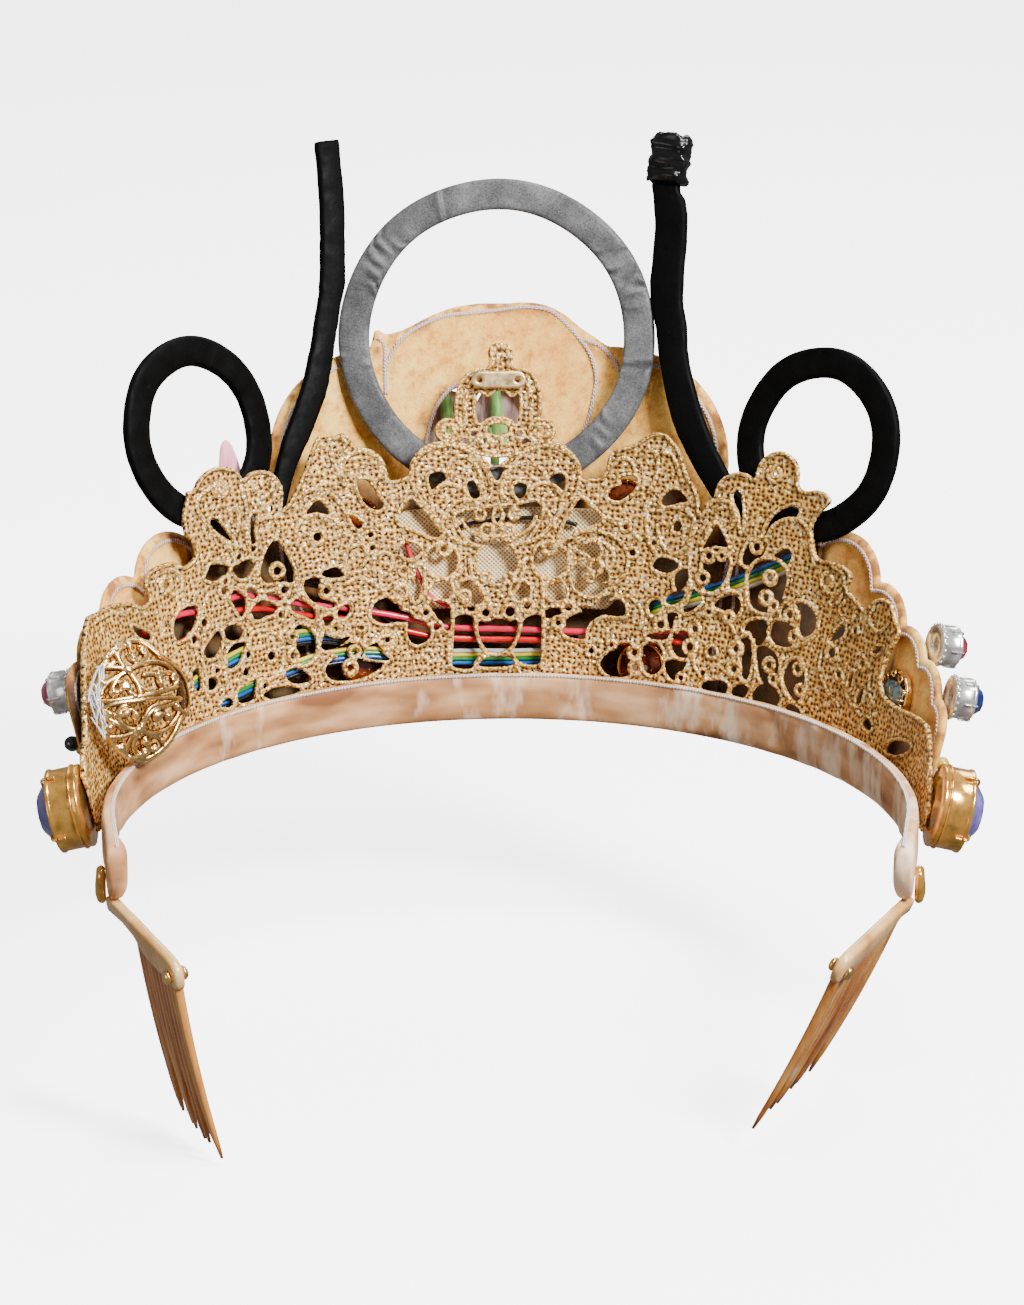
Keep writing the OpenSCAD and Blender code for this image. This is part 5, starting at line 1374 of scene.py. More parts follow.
# Woven pocket behind the palmette
POCKET_H, POCKET_HALF, POCKET_CORNER, POCKET_CELL = 20.0, 21.0, 3.0, 0.55
POCKET_AZ, POCKET_LEFT, POCKET_RIGHT = -0.5, -17, 16
WEAVE_PITCH = 0.85
RING_LOW = RING_Z - RING_R * math.cos(rad(FELT_LEAN))
w = Wall(LACE_OUT + 2 * GAP + WIRE_D, LACE_LEAN)
top = RING_LOW - FOAM_T - GAP
g = Field(w.flat(POCKET_LEFT, 0)[0], w.flat(POCKET_RIGHT, 0)[0], (top - POCKET_H) / math.cos(w.lean) - 1,
          top / math.cos(w.lean) + 1.5, POCKET_CELL)
middle = w.flat(POCKET_AZ, 0)[0], (top - POCKET_H / 2 + 0.4) / math.cos(w.lean)
past_x = np.abs(g.X - middle[0]) - (POCKET_HALF - POCKET_CORNER)
past_y = np.abs(g.Y - middle[1]) - (POCKET_H / 2 - POCKET_CORNER)
corner = np.hypot(np.maximum(past_x, 0), np.maximum(past_y, 0))
f = POCKET_CORNER - (corner + np.minimum(np.maximum(past_x, past_y), 0))
sag = 0.16 * np.sin(g.X * 0.55 + g.Y * 0.2) + 0.12 * np.sin(g.Y * 0.8)
half = 0.34 * rounding(f, 0.4)
weave = {"along": g.X * 2 * math.pi / WEAVE_PITCH, "up": g.Y * 2 * math.pi / WEAVE_PITCH}
o, area, xy = double_sheet("mesh_pocket_cloth", g, f, w, 0.5, half + sag, half - sag, [POCKET], weave)
place(o, "mesh_pocket", "mesh")
declare(o, area, xy, ["lace_centre_cloth"])


# Foam rings, spires and tape
def frame_of(*steps):
    """A matrix from turns, such as ("x", angle), and (x, y, z) moves, in degrees and millimetres."""
    m = Matrix.Identity(4)
    for s in steps:
        turn = isinstance(s[0], str)
        m = m @ (Matrix.Rotation(rad(s[1]), 4, s[0].upper()) if turn else Matrix.Translation(s))
    return np.array(m)


def moved(verts, m):
    """Points carried by a frame."""
    verts = np.asarray(verts, float)
    return verts @ m[:3, :3].T + m[:3, 3]


def ring_piece(cad, slot, mat, r, w, m, creases):
    """A flat foam ring; a crease is an angle in degrees, its slant and its depth."""
    n, sides = int(r * 18), 20
    ex, ey = soft_square(sides, 0.42, 0.55)
    ex, ey = ex * w / 2, ey * FOAM_T / 2
    verts = []
    for i in range(n):
        th = 2 * math.pi * i / n
        for k in range(sides):
            face = -np.sign(ey[k]) * min(1, abs(ey[k]) / (FOAM_T / 2) * 1.2)
            lift = 0.05 * math.sin(9 * th + ex[k] * 0.5) + 0.04 * math.sin(23 * th + 1.3)
            for c, slant, size in creases:
                d = (math.degrees(th) - c - slant * ex[k] + 180) % 360 - 180
                lift += size * math.exp(-(d / 1.1) ** 2) - 0.6 * size * math.exp(-((d - 2.6) / 1.6) ** 2)
            rr = r - w / 2 + ex[k] + 0.08 * math.sin(7 * th + 0.4)
            y = ey[k] - face * lift
            verts.append([rr * math.sin(th), y, rr * math.cos(th)])
    mg = Merge()
    mg.add(moved(verts, m), skin(n, sides, closed=True, flip=True))
    place(mg.make(cad + "_foam", [mat]), cad, slot)


def lace_face(z):
    """Radius of the lace's outer face at a height."""
    return LACE_OUT + z * LACE_WALL.k


def ring_plane(z):
    """How far forward the centre ring's middle plane is at a height."""
    foot_y = lace_face(RING_LOW) + GAP + FOAM_T / 2 / math.cos(rad(FELT_LEAN))
    return foot_y + (z - RING_LOW) * math.tan(rad(FELT_LEAN))


RING_CREASES = ((-62, 3.0, 0.6), (-58, 3.0, 0.75), (-52, -2.0, 0.5), (64, 2.0, 0.6), (72, -3.0, 0.75),
                (52, 1.0, 0.35), (-24, 0.5, 0.4), (22, 0.5, 0.4), (-100, 1.0, 0.3), (100, -0.5, 0.35),
                (132, 2.5, 0.45), (-128, -1.0, 0.4))
HOOP_CREASES = ((150, 2.0, 0.12), (-150, 2.0, 0.12), (30, 1.0, 0.08))
ring_piece("ring_centre", "foam_grey", GREY, RING_R, RING_W,
           frame_of((RING_X, ring_plane(RING_Z), RING_Z), ("x", -FELT_LEAN)), RING_CREASES)
# Side rings: azimuth, azimuth that they face, height of their lowest point
for side, az, face, low in (("left", -41.0, -49.0, 41.1), ("right", 40.8, 41.0, 39.0)):
    z = low + HOOP_R * math.cos(rad(HOOP_LEAN))
    twist = HOOP_R * abs(math.sin(rad(face - az))) * 0.25
    r = (lace_face(low) + GAP + FOAM_T / 2 / math.cos(rad(HOOP_LEAN)) + twist
         + HOOP_R * math.sin(rad(HOOP_LEAN)))
    m = frame_of(("z", -az), (0, r, z), ("z", -(face - az)), ("x", -HOOP_LEAN))
    ring_piece(f"ring_{side}", "foam_black", BLACK, HOOP_R, HOOP_W, m, HOOP_CREASES)

SPIRE_L, SPIRE_W, SPIRE_FOOT, SPIRE_MEET = 72.5, 7.0, 41.0, 17.0
# Spires: the side's sign, the foot's azimuth, and rows of height, inner edge and width. The height is 0 at
# the foot, 1 where the spire meets the ring and 2 at the tip, and the others are shares.
SPIRES = {
    "left": (-1, -31.0, ((0, 0, 0.34), (0.1, 0.1, 0.48), (0.21, 0.21, 0.62), (0.36, 0.42, 0.84),
                         (0.55, 0.65, 0.84), (0.75, 0.8, 0.74), (0.93, 0.93, 0.74), (1, 0.99, 0.76),
                         (1.1, 1.03, 0.78), (1.27, 1.07, 0.75), (1.6, 1.15, 0.75), (2, 1.2, 0.72))),
    "right": (1, 28.5, ((0, -0.02, 1), (0.19, 0.31, 1.04), (0.41, 0.6, 1.04), (0.68, 0.8, 0.9),
                        (0.84, 0.89, 0.96), (1, 0.99, 1.0), (1.4, 1.03, 0.98), (1.6, 1.09, 0.98),
                        (1.7, 1.12, 0.82), (2, 1.12, 0.82)))}


def spire_frame(sign, az):
    """A spire's frame at its foot, and how far across and up it meets the ring."""
    rim = RING_R + GAP
    meet_z = RING_Z + rim * math.sin(rad(SPIRE_MEET)) * math.cos(rad(FELT_LEAN))
    out = outward(rad(az))
    start = (lace_face(SPIRE_FOOT) + GAP + FOAM_T) * out + np.array([0, 0, SPIRE_FOOT])
    way = np.array([RING_X + sign * rim * math.cos(rad(SPIRE_MEET)), ring_plane(meet_z), meet_z]) - start
    across = way @ [out[1], -out[0], 0]
    lean = math.atan2(way @ out, meet_z - SPIRE_FOOT)
    up = (meet_z - SPIRE_FOOT) / math.cos(lean)
    return frame_of(tuple(start), ("z", -az), ("x", -math.degrees(lean))), across, up


spire_tip = {}
for side, (sign, az, rows) in SPIRES.items():
    m, across, up = spire_frame(sign, az)
    coarse = []
    for h, inner, wide in rows:
        z = h * up if h <= 1 else up + (h - 1) * (SPIRE_L - up)
        a, b = inner * across, inner * across + sign * wide * SPIRE_W
        coarse.append([(a + b) / 2, abs(b - a) / 2, z])
    fine = spline(coarse, steps=6)
    ex, ey = soft_square(16, 0.4, 0.5)
    verts = []
    for cx, half, z in fine:
        wob = 0.05 * math.sin(z * 0.9) + 0.04 * math.sin(z * 2.3 + 1)
        for k in range(len(ex)):
            y = ey[k] * FOAM_T / 2 * (1 + 0.05 * math.sin(z * 1.7 + k))
            verts.append([cx + ex[k] * (half + wob), y, z])
    mg = Merge()
    mg.add(moved(verts, m), skin(len(fine), len(ex)))
    place(mg.make(f"spire_{side}_foam", [BLACK]), f"spire_{side}", "foam_black")
    spire_tip[side] = (m, fine[-1])

# Crumpled tape on the right spire's tip
CAP_H, CAP_OVER, CAP_LOOSE, CAP_SHOULDER = 9.6, 0.8, 1.15, 0.88
m, (cx, half, tip_z) = spire_tip["right"]
sides, rows = 26, 22
verts = []
for i in range(rows + 1):
    t = i / rows
    z = tip_z + CAP_OVER - CAP_H + CAP_H * t
    close = 1.0
    if t >= CAP_SHOULDER:
        close = math.sqrt(max(0.02, 1 - ((t - CAP_SHOULDER) / 0.12) ** 2)) * 0.35 + 0.65
    for k in range(sides):
        a = 2 * math.pi * k / sides + 0.16 * math.sin(t * 7)
        crumple = (0.22 * math.sin(5 * a + 9 * t) + 0.2 * math.sin(3 * a - 14 * t + 1)
                   + 0.16 * math.sin(31 * t + 2 * a))
        step = 0.25 * math.copysign(1, math.sin(t * 19 + 0.6 * math.sin(a)))
        ex = math.copysign(abs(math.cos(a)) ** 0.5, math.cos(a))
        ey = math.copysign(abs(math.sin(a)) ** 0.6, math.sin(a))
        x = ex * (half + CAP_LOOSE + 0.6 * crumple + step * 0.5)
        y = ey * (FOAM_T / 2 + CAP_LOOSE + crumple + step * 0.6)
        lift = 0.35 * math.sin(4 * a + 1) if t > 0.9 or t < 0.05 else 0
        verts.append([cx + x * close, y * close, z + lift])
mg = Merge()
mg.add(moved(verts, m), skin(rows + 1, sides))
place(mg.make("spire_cap_tape", [TAPE]), "spire_cap", "tape")

# Wires and four-strand ribbons, on the routes of the source: azimuth, height, layer
ROUTES = {
    "wire_red_upper": ((-58, 26.8, 0), (-51, 27.8, 0), (-45.5, 27.2, 0), (-40, 28.2, 0), (-36, 27, 0),
                       (-30, 24.4, 0), (-23, 22.2, 0), (-14.5, 19.2, 0), (-9, 17, 0), (1.5, 16.3, 0),
                       (13, 16.4, 0), (26, 18.2, 0)),
    "wire_red_lower": ((-55, 21.6, 0), (-51, 22.6, 0), (-46, 24.2, 0), (-42, 25.6, 0), (-36, 24.8, 0),
                       (-30, 22.2, 0), (-23, 20, 0), (-15.5, 17, 0), (-9, 14.9, 0), (1.5, 14.3, 0),
                       (14, 14.5, 0), (26, 16.2, 0)),
    "wire_black": ((-30, 28.4, 1), (-24, 25.4, 1), (-19.5, 21.6, 1), (-16, 17.4, 1), (-12, 15.2, 1),
                   (-6, 14.4, 1), (0, 14.2, 1), (5, 14.2, 1), (9.5, 14.4, 1)),
    "wire_thin_red": ((-14.3, 34, 0), (-13.6, 30.5, 0), (-12.6, 27, 0), (-11.4, 23.4, 0), (-8.8, 21, 0)),
    "wire_thin_black": ((-8.5, 35.4, 0), (-5.5, 37, 0), (-2, 37.6, 0), (1.5, 38, 0), (5, 38, 0), (9, 37, 0)),
    "ribbon_left_upper": ((-51, 13.8, 0), (-46, 15.6, 0), (-41, 17, 0), (-35, 18, 0), (-29, 18, 0),
                          (-25, 17, 0)),
    "ribbon_left_lower": ((-46, 9.4, 0), (-41, 10.4, 0), (-34, 12, 0), (-28, 13.2, 0), (-21, 13, 0),
                          (-14, 11.4, 0)),
    "ribbon_long": ((-9.5, 10.8, 1), (-4, 10.6, 1), (2, 10.6, 1), (7, 11.2, 1), (12, 13.4, 1), (16, 17, 1),
                    (20, 21, 1), (25.5, 24.2, 1), (32, 28.3, 1), (37, 32.2, 1), (40.5, 35, 1))}
WIRE_STEP = WIRE_D + GAP


def strand_line(route, thick):
    """Points and outward directions of a route behind the lace."""
    pts, out = [], []
    for az, z, layer in spline(route, steps=6):
        way = outward(rad(az))
        pts.append((lace_face(z) + GAP + thick / 2 + layer * WIRE_STEP) * way + np.array([0, 0, z]))
        out.append(way)
    return np.array(pts), np.array(out)


WIRE_LOOKS = {"wire_red_upper": (WIRE_D, "pink"), "wire_red_lower": (WIRE_D, "red"),
              "wire_black": (WIRE_D, "black"), "wire_thin_red": (THIN_D, "pink"),
              "wire_thin_black": (THIN_D, "black")}
for name, (d, look) in WIRE_LOOKS.items():
    pts, out = strand_line(ROUTES[name], d)
    mg = Merge()
    mg.tube(pts, d / 2, 12, out=out)
    place(mg.make(name + "_insulated", [WIRES[look]]), name, "wire_red" if "red" in name else "wire_black")
RIBBON_LOOKS = {"ribbon_left_upper": ("yellow", "green", "blue", "black"),
                "ribbon_left_lower": ("yellow", "green", "blue", "black"),
                "ribbon_long": ("white", "yellow", "green", "blue")}
RIBBON_T, STRAND_R, STRAND_PITCH = 1.0, 0.45, 0.84
TWIST_AT, TWIST_SPAN = 0.36, 0.16     # where the long ribbon turns over, as shares of its length
for name, looks in RIBBON_LOOKS.items():
    pts, out = strand_line(ROUTES[name], RIBBON_T)
    way = np.gradient(pts, axis=0)
    way /= np.linalg.norm(way, axis=1)[:, None]
    across = np.cross(out, way)
    across /= np.linalg.norm(across, axis=1)[:, None]
    if across[:, 2].mean() < 0:
        across = -across
    n = len(pts)
    turn = np.zeros(n)
    if name == "ribbon_long":
        turn = np.clip((np.arange(n) / (n - 1) - TWIST_AT) / TWIST_SPAN, 0, 1)
        turn = math.pi * turn * turn * (3 - 2 * turn)
    mg = Merge()
    for i, look in enumerate(looks):
        off = (1.5 - i) * STRAND_PITCH
        line = pts + across * (off * np.cos(turn))[:, None] + out * (off * np.sin(turn))[:, None] * 0.8
        mg.tube(line, STRAND_R, 10, mat=i, out=out)
    place(mg.make(name + "_strands", [WIRES[x] for x in looks]), name, "ribbon")


# Round metalwork and stones
def wall_frame(az, z, r, lean, shift=0.0, turn=0.0):
    """Frame on a wall: x along it, y outward, z up its slope."""
    return frame_of((0, shift, 0), ("z", -az), (0, r, z), ("x", -lean), ("z", turn))


def revolve(profile, n, wave=None):
    """A ring about the local y axis from a closed profile of (radius, y)."""
    verts = []
    for i in range(n):
        a = 2 * math.pi * i / n
        for r, y in profile:
            rr = r * (1 + (wave(a, y) if wave else 0))
            verts.append([rr * math.cos(a), y, rr * math.sin(a)])
    return verts, skin(n, len(profile), closed=True)


def cup_profile(r, depth, wall, bead):
    """Cup with a floor, a foot and a rolled rim."""
    inner = r - wall
    return [(0.02, 0), (r - 0.35, 0), (r - 0.05, 0.12), (r, 0.42), (r - 0.04, 0.8), (r - 0.12, 1.0),
            (r - 0.12, depth - 0.95), (r - 0.02, depth - 0.75), (r + bead, depth - 0.45),
            (r + bead * 0.8, depth - 0.12), (r - wall * 0.35, depth), (inner + 0.05, depth - 0.1),
            (inner, depth - 0.5), (inner, wall + 0.2),
            (inner - 0.25, wall), (0.02, wall)]


def brilliant(r, crown, pavilion, table, n, long=1.0):
    """Cut stone, girdle at y = 0: table, star and kite facets, girdle, pavilion."""
    def ring(count, radius, y, turn=0.0):
        return [[radius * long * math.cos(2 * math.pi * (i + turn) / count), y,
                 radius * math.sin(2 * math.pi * (i + turn) / count)] for i in range(count)]
    top = ring(n, r * table, crown)
    mid = ring(n, r * (0.5 + table * 0.5) * 0.98, crown * 0.55, 0.5)
    high = ring(2 * n, r, 0.15)
    low = ring(2 * n, r, -0.15)
    deep = ring(n, r * 0.55, -pavilion * 0.55, 0.5)
    base = ring(n, r * 0.12, -pavilion)
    verts = top + mid + high + low + deep + base
    t, m, h = 0, n, 2 * n
    l, d, b = 4 * n, 6 * n, 7 * n
    f = [tuple(range(n))[::-1]]
    for i in range(n):
        j = (i + 1) % n
        f.append((t + i, t + j, m + i))
        f.append((t + j, m + j, h + 2 * j, m + i))
        f.append((m + i, h + 2 * j, h + (2 * i + 1) % (2 * n)))
        f.append((m + i, h + (2 * i + 1) % (2 * n), h + 2 * i))
        f.append((d + i, l + 2 * i, l + (2 * i + 1) % (2 * n)))
        f.append((d + i, l + (2 * i + 1) % (2 * n), l + (2 * j) % (2 * n)))
        f.append((d + i, l + 2 * j, d + j, b + j))
        f.append((d + i, b + j, b + i))
    for i in range(2 * n):
        j = (i + 1) % (2 * n)
        f.append((h + i, h + j, l + j, l + i))
    f.append(tuple(b + i for i in range(n)))
    return verts, f


def stone(cad, slot, look, m, *cut):
    """A stone with its girdle in a frame, cut as brilliant() says."""
    verts, faces = brilliant(*cut)
    mg = Merge()
    mg.add(moved(verts, m), faces)
    place(mg.make(cad + "_cut", [look], smooth=False), cad, slot)


def revolved(mg, m, profile, n, wave=None):
    """Adds a ring from its profile in a frame."""
    verts, faces = revolve(profile, n, wave)
    mg.add(moved(verts, m), faces)


def claws(mg, m, count, r, depth, over, size, turn=0.0):
    """Bent prongs from the outside of a cup of this radius and depth, over its stone by over."""
    for i in range(count):
        a = 2 * math.pi * (i + turn) / count
        c, s = math.cos(a), math.sin(a)
        rows = [(r + size * 0.5, depth - 2.2), (r + size * 0.75, depth - 0.9), (r + size * 0.45, depth + 0.1),
                (r - over * 0.45, depth + 0.42), (r - over, depth + 0.38)]
        line = moved(spline([[q * c, y, q * s] for q, y in rows]), m)
        mg.tube(line, np.linspace(size, size * 0.62, len(line)), 8, out=m[:3, 1])
        mg.ball(line[-1], size * 0.72, rings=6, sides=8)


# Outer radii and depths of the bezels, cups and settings
BEZEL_R, BEZEL_L, CUP_R, CUP_L = 7.8, 6.6, 4.3, 4.4
SETTING_R, SETTING_L, BEZEL_WALL, STONE_GAP, GIRDLE_DROP = 5.0, 2.4, 0.7, 0.12, 0.6
FELT_THROUGH, SIDE_THROUGH = FELT_T / math.cos(rad(FELT_LEAN)), FELT_T / math.cos(rad(SIDE_LEAN))


def felt_face(z, lean=FELT_LEAN):
    """Radius of a felt panel's inner face at a height."""
    return FELT_R0 + z * math.tan(rad(lean))


def on_side_felt(az, z):
    """Frame on the outer face of a side felt."""
    return wall_frame(az, z, felt_face(z, SIDE_LEAN) + SIDE_THROUGH + GAP, SIDE_LEAN, SIDE_SHIFT)


BEZEL_AZ, BEZEL_Z, BEZEL_DEPTH = 88, 7, BEZEL_L - 0.6
BEZEL_BAND = ((BEZEL_R - 0.2, 1.15), (BEZEL_R + 0.08, 1.3), (BEZEL_R + 0.08, 1.55), (BEZEL_R - 0.2, 1.7))
for side, sign, turn in (("left", -1, 0.25), ("right", 1, 0.75)):
    m = wall_frame(sign * BEZEL_AZ, BEZEL_Z, lace_face(BEZEL_Z) + GAP, LACE_LEAN)
    mg = Merge()
    revolved(mg, m, cup_profile(BEZEL_R - 0.1, BEZEL_DEPTH, BEZEL_WALL, 0.12), 72)
    revolved(mg, m, BEZEL_BAND, 72)
    claws(mg, m, 4, BEZEL_R - 0.1, BEZEL_DEPTH, 1.1, 0.36, turn)
    place(mg.make(f"bezel_{side}_cup", [BEZEL_GOLD]), f"bezel_{side}", "gold")
    r = BEZEL_R - BEZEL_WALL - STONE_GAP
    stone(f"violet_{side}", "violet", VIOLET, m @ frame_of((0, BEZEL_L - 1.0, 0)),
          r, r * 0.42, r * 0.5, 0.5, 12)

CUP_BEADS, CUP_WALL = 20, BEZEL_WALL * 0.8
for name, az, z, look in (("pink", -77.5, 22, PINK_STONE), ("red", 70.9, 27.8, RED_STONE),
                          ("blue", 79.4, 21.6, BLUE_STONE)):
    m = on_side_felt(az, z)
    mg = Merge()
    revolved(mg, m, cup_profile(CUP_R - 0.35, CUP_L - 0.1, CUP_WALL, 0.1), 40,
             lambda a, y: 0.02 * math.sin(10 * a) * (y > 1))
    claws(mg, m, 6, CUP_R - 0.4, CUP_L - 0.2, 0.55, 0.2)
    for i in range(CUP_BEADS):
        a = 2 * math.pi * i / CUP_BEADS
        c = moved([(CUP_R - 0.3) * math.cos(a), 0.55, (CUP_R - 0.3) * math.sin(a)], m)
        mg.ball(c, 0.36, rings=5, sides=8)
    place(mg.make(f"cup_{name}_claws", [SILVER]), f"cup_{name}", "silver")
    r = CUP_R - 0.35 - CUP_WALL - STONE_GAP
    stone(f"gem_{name}", name, look, m @ frame_of((0, CUP_L - 0.2, 0)), r, r * 0.62, r * 0.6, 0.6, 8)

SETTINGS = ((-21, 37), (15.5, 39.5), (-22, 9.6), (19.8, 9.2))     # azimuth and height
for i, (az, z) in enumerate(SETTINGS, 1):
    m = wall_frame(az, z, felt_face(z) - GAP, FELT_LEAN, FELT_SHIFT, 180)
    mg = Merge()
    revolved(mg, m, cup_profile(SETTING_R - 0.1, SETTING_L, BEZEL_WALL, 0.08), 40)
    claws(mg, m, 6, SETTING_R - 0.35, SETTING_L - 0.3, 0.8, 0.24, 0.5)
    place(mg.make(f"setting_{i}_cup", [DEEP_GOLD]), f"setting_{i}", "gold")
    r = SETTING_R - BEZEL_WALL - STONE_GAP - 0.1
    stone(f"amber_{i}", "amber", AMBER, m @ frame_of((0, SETTING_L - GIRDLE_DROP, 0)),
          r, r * 0.2, SETTING_L - GIRDLE_DROP - BEZEL_WALL - STONE_GAP, 0.6, 10)

# Grey-green pointed stone in gold openwork
GREEN_AZ, GREEN_Z, SCROLLS = 68, 17, 9
m = wall_frame(GREEN_AZ, GREEN_Z, felt_face(GREEN_Z, SIDE_LEAN) - GAP, SIDE_LEAN, SIDE_SHIFT, 180)
mg = Merge()
revolved(mg, m, cup_profile(SETTING_R - 0.1, 1.5, BEZEL_WALL, 0.05), 44)
for i in range(SCROLLS):
    a = 2 * math.pi * i / SCROLLS
    loop = []
    for k in range(14):
        t = 2 * math.pi * k / 14
        rr, sway = SETTING_R - 0.95 + 0.62 * math.cos(t), 0.16 * math.sin(t)
        loop.append([rr * math.cos(a + sway), 1.75 + 0.3 * math.sin(t) ** 2, rr * math.sin(a + sway)])
    mg.tube(moved(loop, m), 0.17, 7, closed=True, out=m[:3, 1])
claws(mg, m, 2, 4.2, SETTING_L - 0.35, 0.9, 0.26)
place(mg.make("openwork_green_cup", [WARM_GOLD]), "openwork_green", "gold")
stone("gem_green", "green", TEAL, m @ frame_of((0, SETTING_L - GIRDLE_DROP - 0.1, 0)),
      2.75, 0.75, 0.9, 0.55, 8, 1.5)


# Filigree disc: a pierced dome with two flowers, a double rib and raised edges
DISC_R, DISC_DOME = 12.2, 5.5
DISC_AZ, DISC_FACE, DISC_Z, DISC_OUT = -72.0, -50.0, 20.5, 0.5
DISC_PLACE = (HEAD_R + DISC_OUT) * outward(rad(DISC_AZ)) + np.array([0, 0, DISC_Z])
DISC_FRAME = frame_of(tuple(DISC_PLACE), ("z", -DISC_FACE), ("x", -FELT_LEAN), ("x", 90))


class Dome:
    """Disc plane carried on to a dome: flat coordinates are x and y of the disc."""

    def __init__(self, r, rise, m):
        self.ball = (r ** 2 + rise ** 2) / (2 * rise)
        self.rise, self.m = rise, m

    def point(self, uv, out):
        uv = np.asarray(uv, float)
        z = np.sqrt(np.maximum(self.ball ** 2 - (uv ** 2).sum(1), 1))
        n = np.concatenate([uv, z[:, None]], 1) / self.ball
        c = np.array([0, 0, self.rise - self.ball])
        return moved(c + n * (self.ball - np.asarray(out, float).reshape(-1, 1)), self.m)


DOME = Dome(DISC_R, DISC_DOME, DISC_FRAME)

# Disc drawing by the photograph's pixels: outline, wires, balls with their radii, and plain parts
DISC_RIM_PX = [
    (101.3, 647.6), (110.5, 640.6), (121.6, 637.2), (131.8, 636.7), (142.9, 639.2), (153.0, 646.2),
    (162.3, 654.2), (173.4, 661.9), (183.6, 670.7), (190.9, 681.8), (194.5, 694.7), (191.4, 709.5),
    (184.0, 719.7), (178.5, 730.3), (172.5, 741.4), (164.6, 751.1), (154.0, 759.3), (142.9, 763.9),
    (131.8, 764.8), (120.7, 761.3), (112.4, 754.8), (104.8, 743.7), (99.0, 731.7), (95.3, 720.6),
    (92.0, 705.8), (89.7, 691.9), (89.1, 678.1), (92.5, 661.4)]
DISC_CORDS_PX = [
    [(97.6, 701.4), (110.5, 700.7), (123.5, 698.9), (137.3, 696.8), (153.0, 693.6), (165.1, 690.6),
     (178.0, 686.4)],
    [(102.2, 708.6), (110.5, 705.1), (121.6, 702.6), (137.3, 700.7), (154.0, 698.2), (170.6, 697.3),
     (181.7, 698.6)],
    [(128.5, 669.3), (123.0, 664.7), (119.0, 658.2), (118.4, 652.2), (120.7, 647.6), (125.3, 643.9),
     (130.4, 643.9)],
    [(128.5, 669.3), (135.5, 665.6), (141.0, 662.4), (145.6, 657.3), (148.0, 651.7), (145.2, 647.6),
     (140.1, 645.7)],
    [(130.4, 646.6), (131.8, 651.3), (133.2, 656.3)],
    [(128.5, 669.3), (139.2, 664.4), (148.4, 661.6), (159.5, 661.4), (168.8, 664.9), (176.2, 672.1)],
    [(128.5, 669.3), (134.5, 676.2), (139.2, 684.1), (147.0, 689.6), (156.7, 691.5), (166.0, 689.2)],
    [(160.4, 674.4), (170.6, 671.6), (178.0, 678.1), (176.2, 685.5), (168.8, 689.2), (161.4, 685.5),
     (158.6, 679.0)],
    [(157.7, 673.5), (150.3, 673.5), (144.7, 674.4)],
    [(128.5, 669.3), (120.7, 674.4), (115.1, 681.8), (111.9, 689.2), (112.4, 694.7)],
    [(128.5, 669.3), (134.5, 678.1), (139.2, 685.5), (141.5, 693.8)],
    [(125.3, 684.5), (120.7, 691.0), (115.1, 693.8)],
    [(125.3, 684.5), (131.8, 693.8)],
    [(128.5, 669.3), (119.8, 667.0), (110.5, 667.0), (101.3, 667.4), (94.8, 668.8)],
    [(126.2, 671.6), (117.0, 676.2), (107.7, 681.8), (102.2, 689.2), (98.5, 696.6)],
    [(114.2, 661.0), (107.7, 666.5), (101.3, 667.4)],
    [(94.8, 668.8), (92.0, 676.2), (95.7, 681.8), (102.2, 681.8)],
    [(107.7, 642.9), (112.4, 646.6), (116.1, 653.1), (118.8, 657.7)],
    [(101.3, 647.6), (99.9, 655.0), (103.1, 661.4), (110.5, 664.2)],
    [(140.1, 729.9), (131.8, 729.4), (124.4, 725.7), (119.3, 719.7), (117.9, 713.2), (120.7, 708.1),
     (126.2, 706.0)],
    [(140.1, 729.9), (142.9, 723.4), (146.4, 715.1), (150.7, 708.6), (158.6, 704.0)],
    [(125.3, 714.1), (131.8, 709.5), (136.4, 715.1), (136.4, 722.5)],
    [(140.1, 729.9), (144.7, 724.3), (148.9, 716.0), (156.7, 708.6), (166.0, 706.9)],
    [(140.1, 729.9), (148.4, 733.1), (158.6, 733.7), (167.8, 729.9), (176.2, 721.5), (179.9, 713.2)],
    [(158.6, 716.0), (165.1, 713.2), (170.6, 718.8)],
    [(140.1, 729.9), (136.2, 739.1), (134.5, 747.4), (137.3, 754.4), (144.7, 759.4)],
    [(140.1, 729.9), (150.3, 734.9), (159.5, 738.2), (164.6, 744.6)],
    [(145.6, 741.9), (149.3, 750.2), (143.8, 753.4)],
    [(149.3, 750.2), (155.8, 749.3)],
    [(140.1, 729.9), (131.8, 734.0), (122.5, 737.7), (114.7, 740.0), (111.0, 744.6), (111.9, 751.1),
     (116.1, 756.7)],
    [(140.1, 729.9), (131.8, 739.1), (128.1, 748.3), (126.2, 757.6)],
    [(120.7, 748.8), (124.4, 753.9), (129.9, 758.1)],
    [(103.6, 717.4), (114.2, 722.5), (123.5, 728.0), (140.1, 729.9)],
    [(99.0, 731.2), (107.7, 737.7), (119.8, 737.7), (131.8, 734.0)],
    [(109.1, 713.2), (105.0, 716.0), (101.3, 722.5)],
    [(109.1, 728.0), (105.0, 731.7)],
    [(166.0, 706.9), (175.2, 703.0), (181.7, 698.6)],
    [(177.1, 706.7), (182.6, 711.4), (187.2, 712.3)],
    [(102.2, 708.6), (107.7, 713.2), (117.0, 716.0)]]
